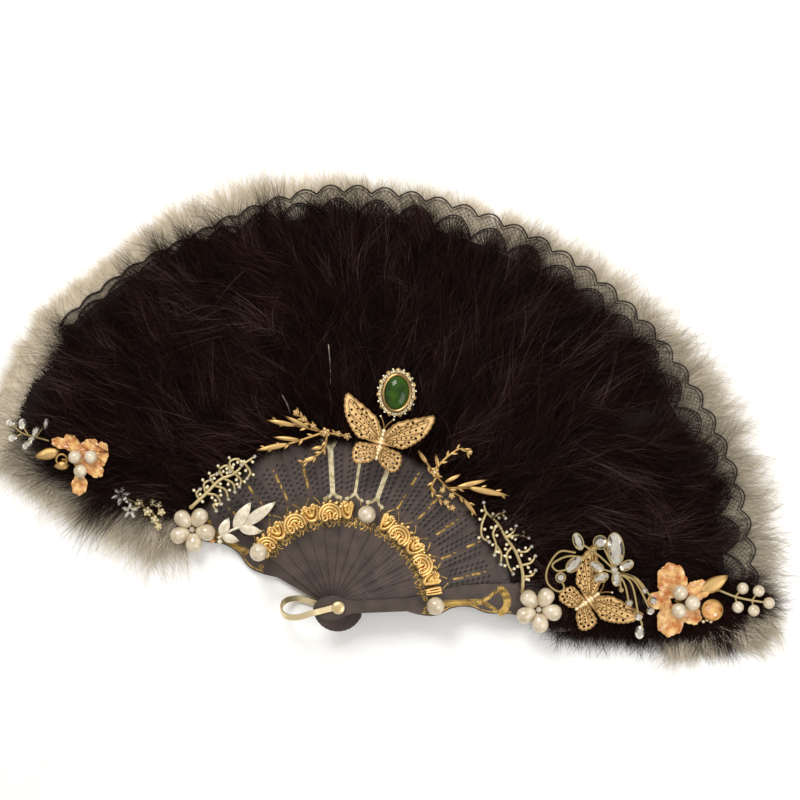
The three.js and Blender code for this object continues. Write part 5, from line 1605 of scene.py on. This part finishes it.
RIGHT_BRANCH = [
    [(97.6, 8.2), (97.5, 19), (93.6, 29.8), (88.6, 36.9), (84.6, 44.1), (78.4, 50.2), (77, 55.4)],
    [(78.4, 50.2), (75.8, 43), (76.3, 37), (79.9, 34.4)],
    [(84.6, 44.1), (81.9, 39), (83.6, 32.8), (82.6, 27.4)], [(83.6, 32.8), (86.2, 28.4), (86, 22.6)],
    [(88.6, 36.9), (92.6, 39.4), (94.2, 43)], [(88.6, 36.9), (96.3, 38), (100.9, 36.6)],
    [(93.6, 29.8), (99.3, 29.2), (102.4, 32)],
    [(92, 32), (89.1, 27.7), (90.1, 22), (92.6, 17.4)], [(97, 22), (102, 23.4), (104.4, 27)],
    [(97.5, 16), (102.4, 16.6), (104.6, 19.4)], [(81.4, 47.4), (86, 49.4), (88.6, 47)]]
SPRAYS = (
    ("left", 5, LEFT_SPRAY, LEFT_BLADES, LEFT_TUFTS, LEFT_SPRAY_LEVEL + 1, (-8, 83.6)),
    ("right", 9, RIGHT_SPRAY, RIGHT_BLADES, RIGHT_TUFTS, RIGHT_SPRAY_LEVEL + 1, (49.3, 63)))
print("twigs:", len(LEFT_BRANCH), "on the left,", len(RIGHT_BRANCH), "on the right")

# %% [markdown]
# A spray's prongs thin out and carry small leaves by turns on both sides. A branch's twigs carry buds in
# the same way.

# %% Spray and branch forms
def tuft(x, y, height, size):
    """A small five-petalled flower with a bead in its middle."""
    parts = [round_bead((x, y, height + 0.3 * size), (0.4 * size, 0.4 * size, 0.4 * size), 10)]
    for i in range(5):
        a = 2 * math.pi * i / 5 + x
        tip = (x + 0.62 * size * math.cos(a), y + 0.62 * size * math.sin(a))
        parts.append(leaf_blade((x, y), tip, 0.42 * size, height, 0.4, 0.4, 0.2))
    return parts


def spray_parts(prongs, blades, tufts, height):
    """Thinning prongs with small leaves, leaf-shaped ends and tufts of flowers."""
    parts = []
    for prong in prongs:
        path = smooth_path(prong, 10)
        parts.append(tube(level(path, height), np.linspace(0.75, 0.32, len(path)), 8))
        for n, share in enumerate(np.linspace(0.2, 0.92, 7)):
            i = int(share * (len(path) - 2))
            direction = path[i + 1] - path[i]
            direction /= np.linalg.norm(direction)
            side = 1 if n % 2 else -1
            out = direction * 3.4 + np.array([-direction[1], direction[0]]) * side * 2.2
            parts.append(leaf_blade(path[i], path[i] + out, 1.1, height + 0.2, 0.3, 0.4, 0.2))
    for start, end, width in blades:
        parts.append(leaf_blade(start, end, width, height + 0.4, 0.8, 0.5))
    for x, y, size in tufts:
        parts += tuft(x, y, height + 0.6, size)
    return parts


def branch_parts(twigs, height):
    """Knobbly twigs, thickest first, with buds on short stalks and a stone at each end."""
    wires, stones = [], []
    for number, points in enumerate(twigs):
        path = smooth_path(points, 6)
        wires.append(tube(level(path, height), np.linspace(1.0 if number == 0 else 0.7, 0.5, len(path)), 8))
        for n, i in enumerate(range(3, len(path) - 2, 4)):
            direction = path[i + 1] - path[i]
            out = np.array([-direction[1], direction[0]]) / np.linalg.norm(direction) * (1 if n % 2 else -1)
            place = path[i] + out * 1.9 + direction * 0.6
            wires.append(tube(level([path[i], place], height), 0.5, 6))
            wires.append(round_bead((*place, height + 0.2), (1.8, 1.8, 1.6), 10))
        wires.append(round_bead((*path[-1], height), (2.0, 2.0, 1.6), 10))
        stones.append(cut_stone(*path[-1], height + 0.9, 2.3, 2.3))
    return wires, stones


print("spray and branch forms ready")

# %% [markdown]
# The sprays ride on their sticks above the branches, which ride on the guards, so that a spray can pass
# over a branch as the fan folds.

# %% Place the sprays and branches
for name, k, prongs, blades, tufts, height, stand in SPRAYS:
    form = spray_parts(prongs, blades, tufts, height) + [foot(k, *stand, height)]
    ornament(f"gold_wire_spray_{name}", form, BRASS, stick_body(k), [f"gold_spray_{name}"])
left_height, right_height = LEFT_BRANCH_LEVEL + 1.2, RIGHT_BRANCH_LEVEL + 1.2
left_foot = tube([(*LEFT_BRANCH[0][0], 7.0), (*LEFT_BRANCH[0][0], left_height)], 1.2, 10)
right_foot = foot(LAST, *RIGHT_BRANCH[0][0], right_height)
for name, body, twigs, height, stand in (
        ("left", "back_guard", LEFT_BRANCH, left_height, left_foot),
        ("right", "front_guard", RIGHT_BRANCH, right_height, right_foot)):
    wires, stones = branch_parts(twigs, height)
    wires.append(stand)
    ornament(f"fine_branch_{name}", wires, CREAM_GOLD, body, [f"crystal_branch_{name}"])
    ornament(f"fine_branch_{name}_stones", stones, CRYSTAL, body, (), 15)
print("sprays and branches made")

# %% [markdown]
# Each pearl flower has five pear-shaped pearls wired round a small gold centre that holds a cut stone. The
# leaf spray beside the left one has enamelled leaves on a short stem, and a tiny bead lies next to it.

# %% Pearl flowers, leaf spray and bead
LEAF_LEVEL = 8.1
SILVER_STEM = [(-64.2, 36.2), (-59.5, 39.2), (-53, 42), (-49.5, 43)]
SILVER_LEAVES = [
    ((-56, 41), (-46.8, 55.4), 6.4), ((-51, 42.6), (-33.5, 55.5), 6.0), ((-53.5, 41.8), (-40.8, 39.4), 5.4),
    ((-63, 37), (-58.5, 47), 5.4), ((-62.5, 37.3), (-53, 34.6), 4.8)]
FIRST_PEARL = 60


def pear_pearl(x, y, z, length, width, turn):
    """A pearl that is fuller at its outer end."""
    points, faces = round_bead((0, 0, 0), (1, 1, 1), 24)
    points = points[:, [2, 0, 1]] * (length, width, width)
    points[:, 1:] *= 1 + 0.22 * points[:, :1] / (length / 2)
    return moved((points, faces), at(x, y, z, turn))


def pearl_ring(x, y, height):
    turns = [math.radians(FIRST_PEARL + 72 * i) for i in range(5)]
    return [pear_pearl(x + 7 * math.cos(a), y + 7 * math.sin(a), height, 11, 8.8, a) for a in turns]


for name, x, y, k in (("right", 106, -1.2, LAST), ("left", -78, 40.8, 0)):
    node, body = f"pearl_flower_{name}", stick_body(k)
    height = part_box(node)[1][2] / MM - 5.0
    centre = [
        tube([(x, y, height - 3), (x, y, height + 2.4)], 1.2, 10),
        round_bead((x, y, height + 2.4), (2.8, 2.8, 1.4), 12), foot(k, x, y, height)]
    stone = cut_stone(x, y, height + 3.0, 2.6, 2.6)
    ornament(f"pear_pearls_{name}", pearl_ring(x, y, height), PEARL, body, [node], 180)
    ornament(f"pearl_flower_centre_{name}", centre, CREAM_GOLD, body)
    ornament(f"pearl_flower_stone_{name}", [stone], CRYSTAL, body, (), 15)
spray_leaves = [leaf_blade(a, b, w, LEAF_LEVEL, 1.2, 0.6, 0.5) for a, b, w in SILVER_LEAVES]
spray_leaves.append(tube(level(smooth_path(SILVER_STEM, 8), LEAF_LEVEL), 0.7, 8))
spray_leaves.append(foot(0, -63.3, 34.4, LEAF_LEVEL))
ornament("enamel_leaf_spray", spray_leaves, ENAMEL, "back_guard", ["silver_leaf_spray"])
low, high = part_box("small_bead")
bead = round_bead((-67.6, 34.9, (low[2] + high[2]) / 2 / MM), (3.4, 3.4, 3.4), 20)
ornament("amber_bead", [bead], AMBER, "back_guard", ["small_bead"], 180)
print("pearl flowers, leaf spray and bead made")

# %% [markdown]
# The crystal sprays are cut glass stones in wire: long marquises, rounds, and beads on drooping wires.

# %% Stones in wire
CRYSTAL_WIRES = [
    [(149.7, 9.2), (148.5, 14), (146, 19.8), (139, 34.2)], [(146, 19.8), (137, 28), (126.8, 34.8)],
    [(125.5, 29), (116.8, 29.4), (110.7, 20.9), (110.5, 13.2), (115.8, 8.6), (119.4, 10.1), (117.4, 15.2)],
    [(130.2, 26.5), (121, 27), (113.3, 22.9), (115.8, 19.3), (122, 20.3)], [(146, 19.8), (146.5, 30.9)],
    [(130.2, 26.5), (134, 29), (138.4, 34.4)], [(136.7, 21.6), (142, 19.5), (147.5, 18.5)],
    [(147.5, 18.5), (151.5, 12), (153.7, 2.4)], [(147.5, 18.5), (155, 12.5), (158.8, -4.7)],
    [(147.5, 18.5), (157, 13.5), (165, -1.7)], [(147.5, 18.5), (158, 15), (166.5, 3.5)],
    [(147.5, 18.5), (156, 16), (161.9, 8.9)], [(158.8, -4.7), (160.5, -9), (159.3, -13.4)]]
CRYSTALS = [
    (146.5, 30.9, 17, 8.7, 95), (138.4, 34.4, 7, 7, 0), (126.8, 34.9, 9, 5, 110), (124.5, 22.8, 10, 6, 45),
    (117.5, 15.8, 5, 5, 0), (136.7, 21.6, 7.5, 4.6, 150), (139, 15.8, 7.5, 4.6, 200),
    (152.4, 22.2, 7.5, 4.6, 30), (147.1, 15.2, 7.5, 4.6, 270), (145.9, 19.8, 4.4, 4.4, 0),
    (153.7, 2.4, 4.2, 4.2, 0), (158.8, -4.7, 4.2, 4.2, 0), (166.5, 3.5, 4.2, 4.2, 0), (165, -1.7, 4.2, 4.2, 0),
    (161.9, 8.9, 3.4, 3.4, 0), (159.3, -13.2, 7, 5, 90)]
FRAMED = 9


def stone_flower(x, y, reach, count):
    """Long stones set round a point, as (x, y, length, width, turn)."""
    stones = []
    for turn in (360 * i / count + 15 for i in range(count)):
        c, s = math.cos(math.radians(turn)), math.sin(math.radians(turn))
        stones.append((x + reach * c, y + reach * s, 1.5 * reach, 0.85 * reach, turn))
    return stones


def set_stones(places, height):
    return [cut_stone(x, y, height + 0.2, a, b, math.radians(t), 12) for x, y, a, b, t in places]


def stone_frame(x, y, length, width, turn, height):
    ring = arc((0, 0), (0.5 * length + 0.1, 0.5 * width + 0.1), 0, 2 * math.pi, 25)
    return moved(tube(level(ring, 0), 0.32, 6), at(x, y, height + 0.3, math.radians(turn)))


SPRIGS = (
    ("crystal_sprig_left", [[(-115.8, 59), (-106, 54), (-99, 49.5), (-95.6, 43)], [(-106, 54), (-112, 52)]],
     stone_flower(-115.8, 59, 3.2, 6) + stone_flower(-111, 51, 2.6, 5),
     [(-106, 54.8, 4.4), (-98.9, 55.2, 3.8), (-101.6, 50.3, 4.6), (-95.8, 54, 3.4), (-94.4, 50, 4.0),
      (-98, 45.9, 4.2), (-96, 42.3, 3.6)]),
    ("crystal_sprig_far_left",
     [[(-154, 88), (-161, 90), (-168, 92), (-174.3, 97.3)], [(-161, 90), (-156, 96.4)],
      [(-165, 91), (-168.1, 96.4)], [(-161, 90), (-165.4, 85.8)], [(-168, 92), (-173, 89.5)]],
     [(-174.3, 97.3, 5, 4.4, 150), (-168.1, 96.8, 6, 4.4, 80), (-173, 89.5, 5, 4.2, 200),
      (-161, 93, 5.4, 3.6, 60), (-165.4, 85.8, 6, 4, 215), (-155.6, 96.9, 6, 3, 80), (-163, 89, 4, 3, 20)], []))
print("crystals in the right spray:", len(CRYSTALS))

# %% [markdown]
# In the right spray the stones have wire frames, all but the small centre one and those on the drooping
# wires. The two small sprigs on the left lie on the feathers.

# %% Place the crystal sprays
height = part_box("crystal_spray_right")[1][2] / MM - 1.8
wires = [tube(level(smooth_path(w, 8), height), 0.55, 6) for w in CRYSTAL_WIRES]
wires += [stone_frame(*crystal, height) for crystal in CRYSTALS[:FRAMED]]
wires.append(foot(LAST, *CRYSTAL_WIRES[0][0], height))
ornament("crystal_spray_wire", wires, CREAM_GOLD, "front_guard", ["crystal_spray_right"])
ornament("crystal_spray_stones", set_stones(CRYSTALS, height), CRYSTAL, "front_guard", (), 15)
for name, sprig_wires, sprig_stones, tufts in SPRIGS:
    low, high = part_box(name)
    height = (low[2] + high[2]) / 2 / MM
    wires = [tube(level(smooth_path(w, 6) if len(w) > 2 else w, height), 0.45, 6) for w in sprig_wires]
    for x, y, size in tufts:
        wires += tuft(x, y, height + 0.3, size)
    ornament(f"{name}_wire", wires, CREAM_GOLD, "back_guard", [name])
    ornament(f"{name}_stones", set_stones(sprig_stones, height), CRYSTAL, "back_guard", (), 15)
print("crystal sprays made")

# %% [markdown]
# The amber flowers are cast resin petals with a crinkled rim, set round pearls, with gold leaves.

# %% Petals, pearls and rings
RIGHT_PETALS = [
    (177.3, 13.6, 0, 19, 16, 100), (176.7, -7.2, 0, 18, 15, 255), (190.5, 8.2, 0, 15, 11, 25),
    (170.5, 3.0, -0.4, 13, 10, 180), (187.5, -4.5, -0.4, 12, 10, 320)]
RIGHT_PEARLS = [(181.4, 7.3), (188, 1.9), (180.8, -2.2)]
CUP_PLACE = (198.6, -2)
CUP_RADIUS = 5.4
CUP_PROFILE = [(0, 0), (2, 0), (4.4, 1.2), (CUP_RADIUS, 3), (4.8, 3.2), (3.6, 1.8), (0, 1.4)]
LEFT_PETALS = [
    (-126.2, 80.6, 0, 14, 8, 80), (-129.6, 73.0, 0, 11, 8, -40), (-133, 84.6, 0, 12, 8, 30),
    (-141.4, 86.2, 0, 12, 8, 130), (-147.6, 86.8, 0, 10, 6, 165), (-137.6, 64.6, 0, 11, 8.6, 265),
    (-134.4, 76.4, 0, 12, 10, 0)]
LEFT_PEARLS = [(-139.9, 79.4), (-131.5, 79.4), (-137, 72)]


def petal(x, y, z, length, width, turn, folds=7):
    """A cupped petal with a crinkled rim."""
    points, faces = round_bead((0, 0, 0), (length, width, 2.4), 36)
    around = np.arctan2(points[:, 1] / width, points[:, 0] / length)
    rim = (2 * points[:, 0] / length) ** 2 + (2 * points[:, 1] / width) ** 2
    crinkle = np.sin(folds * around + x) + 0.6 * np.sin((2 * folds + 1) * around)
    points[:, 2] += (1.2 + 0.45 * crinkle) * rim
    points[:, :2] *= (1 + 0.05 * crinkle * rim)[:, None]
    return moved((points, faces), at(x, y, z, math.radians(turn)))


def petals_at(rows, height):
    return [petal(x, y, height + sunk, *shape) for x, y, sunk, *shape in rows]


def pearls_at(places, height, size):
    return [round_bead((x, y, height), (size, size, size), 24) for x, y in places]


def wire_ring(centre, radius, steps, height, wire):
    return tube(level(arc(centre, (radius, radius), 0, 2 * math.pi, steps), height), wire, 8)


print("petal forms ready")

# %% [markdown]
# The right flower has a small cup and a row of gold beads beside it. The left one has two gold leaves and a
# ring.

# %% Place the amber flowers
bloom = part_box("amber_flower_right")[0][2] / MM + 3.0
right_gold = [
    wire_ring(CUP_PLACE, CUP_RADIUS, 33, bloom + 1.9, 0.5),
    leaf_blade((192, 7), (207.5, 16.5), 7.5, bloom + 0.6, 1.0, 0.6, 0.8),
    tube(level([(180, 3), (193.4, -1)], bloom), 0.8, 8), foot(LAST, 180, 3, bloom + 1)]
for i, x in enumerate(range(190, 200, 2)):
    right_gold.append(round_bead((x, -8.2 + 0.9 * (i % 2), bloom), (2.0, 2.0, 2.0), 10))
cup = moved(lathe(CUP_PROFILE, 24), at(*CUP_PLACE, bloom - 1.4))
ornament("amber_petals_right", petals_at(RIGHT_PETALS, bloom), AMBER, "front_guard",
         ["amber_flower_right"], 180)
right_pearls = pearls_at(RIGHT_PEARLS, bloom + 3.4, 8.4)
ornament("amber_flower_pearls", right_pearls, PEARL, "front_guard", (), 180)
ornament("amber_cup", [cup], AMBER, "front_guard", (), 60)
ornament("amber_flower_gold", right_gold, BRASS, "front_guard")
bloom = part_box("amber_flower_left")[0][2] / MM + 2.0
left_gold = [
    leaf_blade((-148, 82.4), (-161.6, 79.4), 6, bloom + 0.4, 1.0, 0.6, 0.8),
    leaf_blade((-143, 75), (-151.4, 74.6), 4.4, bloom + 0.4, 0.8, 0.6, 0.8),
    wire_ring((-147, 78), 2.9, 25, bloom + 1.4, 0.6), tube(level([(-147, 78), (-134.4, 76.4)], bloom), 0.7, 8)]
ornament("amber_petals_left", petals_at(LEFT_PETALS, bloom), AMBER, "back_guard",
         ["amber_flower_left"], 180)
left_pearls = pearls_at(LEFT_PEARLS, bloom + 2.8, 7.2)
ornament("amber_flower_left_pearls", left_pearls, PEARL, "back_guard", (), 180)
ornament("amber_flower_left_leaf", left_gold, BRASS, "back_guard")
print("amber flowers made")

# %% [markdown]
# A sprig of pearls on gold wire runs on past the end of the front guard.

# %% Pearl sprig
SPRIG_STEM = [(202, 8.6), (211, 5), (220, 3), (229, 1.6)]
SPRIG_PEARLS = [(215.1, 9.4), (223.6, 8), (212.5, -0.6), (221, -2.4), (229, 1.6)]
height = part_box("pearl_sprig_right")[1][2] / MM - 3.2
wires = [tube(level(smooth_path(SPRIG_STEM, 8), height), 0.6, 8), foot(LAST, *SPRIG_STEM[0], height, 0.9)]
for x, y in SPRIG_PEARLS:
    near = SPRIG_STEM[1] if x < 220 else SPRIG_STEM[2]
    wires.append(tube(level([near, (x, y)], height), 0.5, 6))
ornament("pearl_sprig_wire", wires, CREAM_GOLD, "front_guard", ["pearl_sprig_right"])
ornament("pearl_sprig_pearls", pearls_at(SPRIG_PEARLS, height, 6.4), PEARL, "front_guard", (), 180)
print("pearl sprig made")
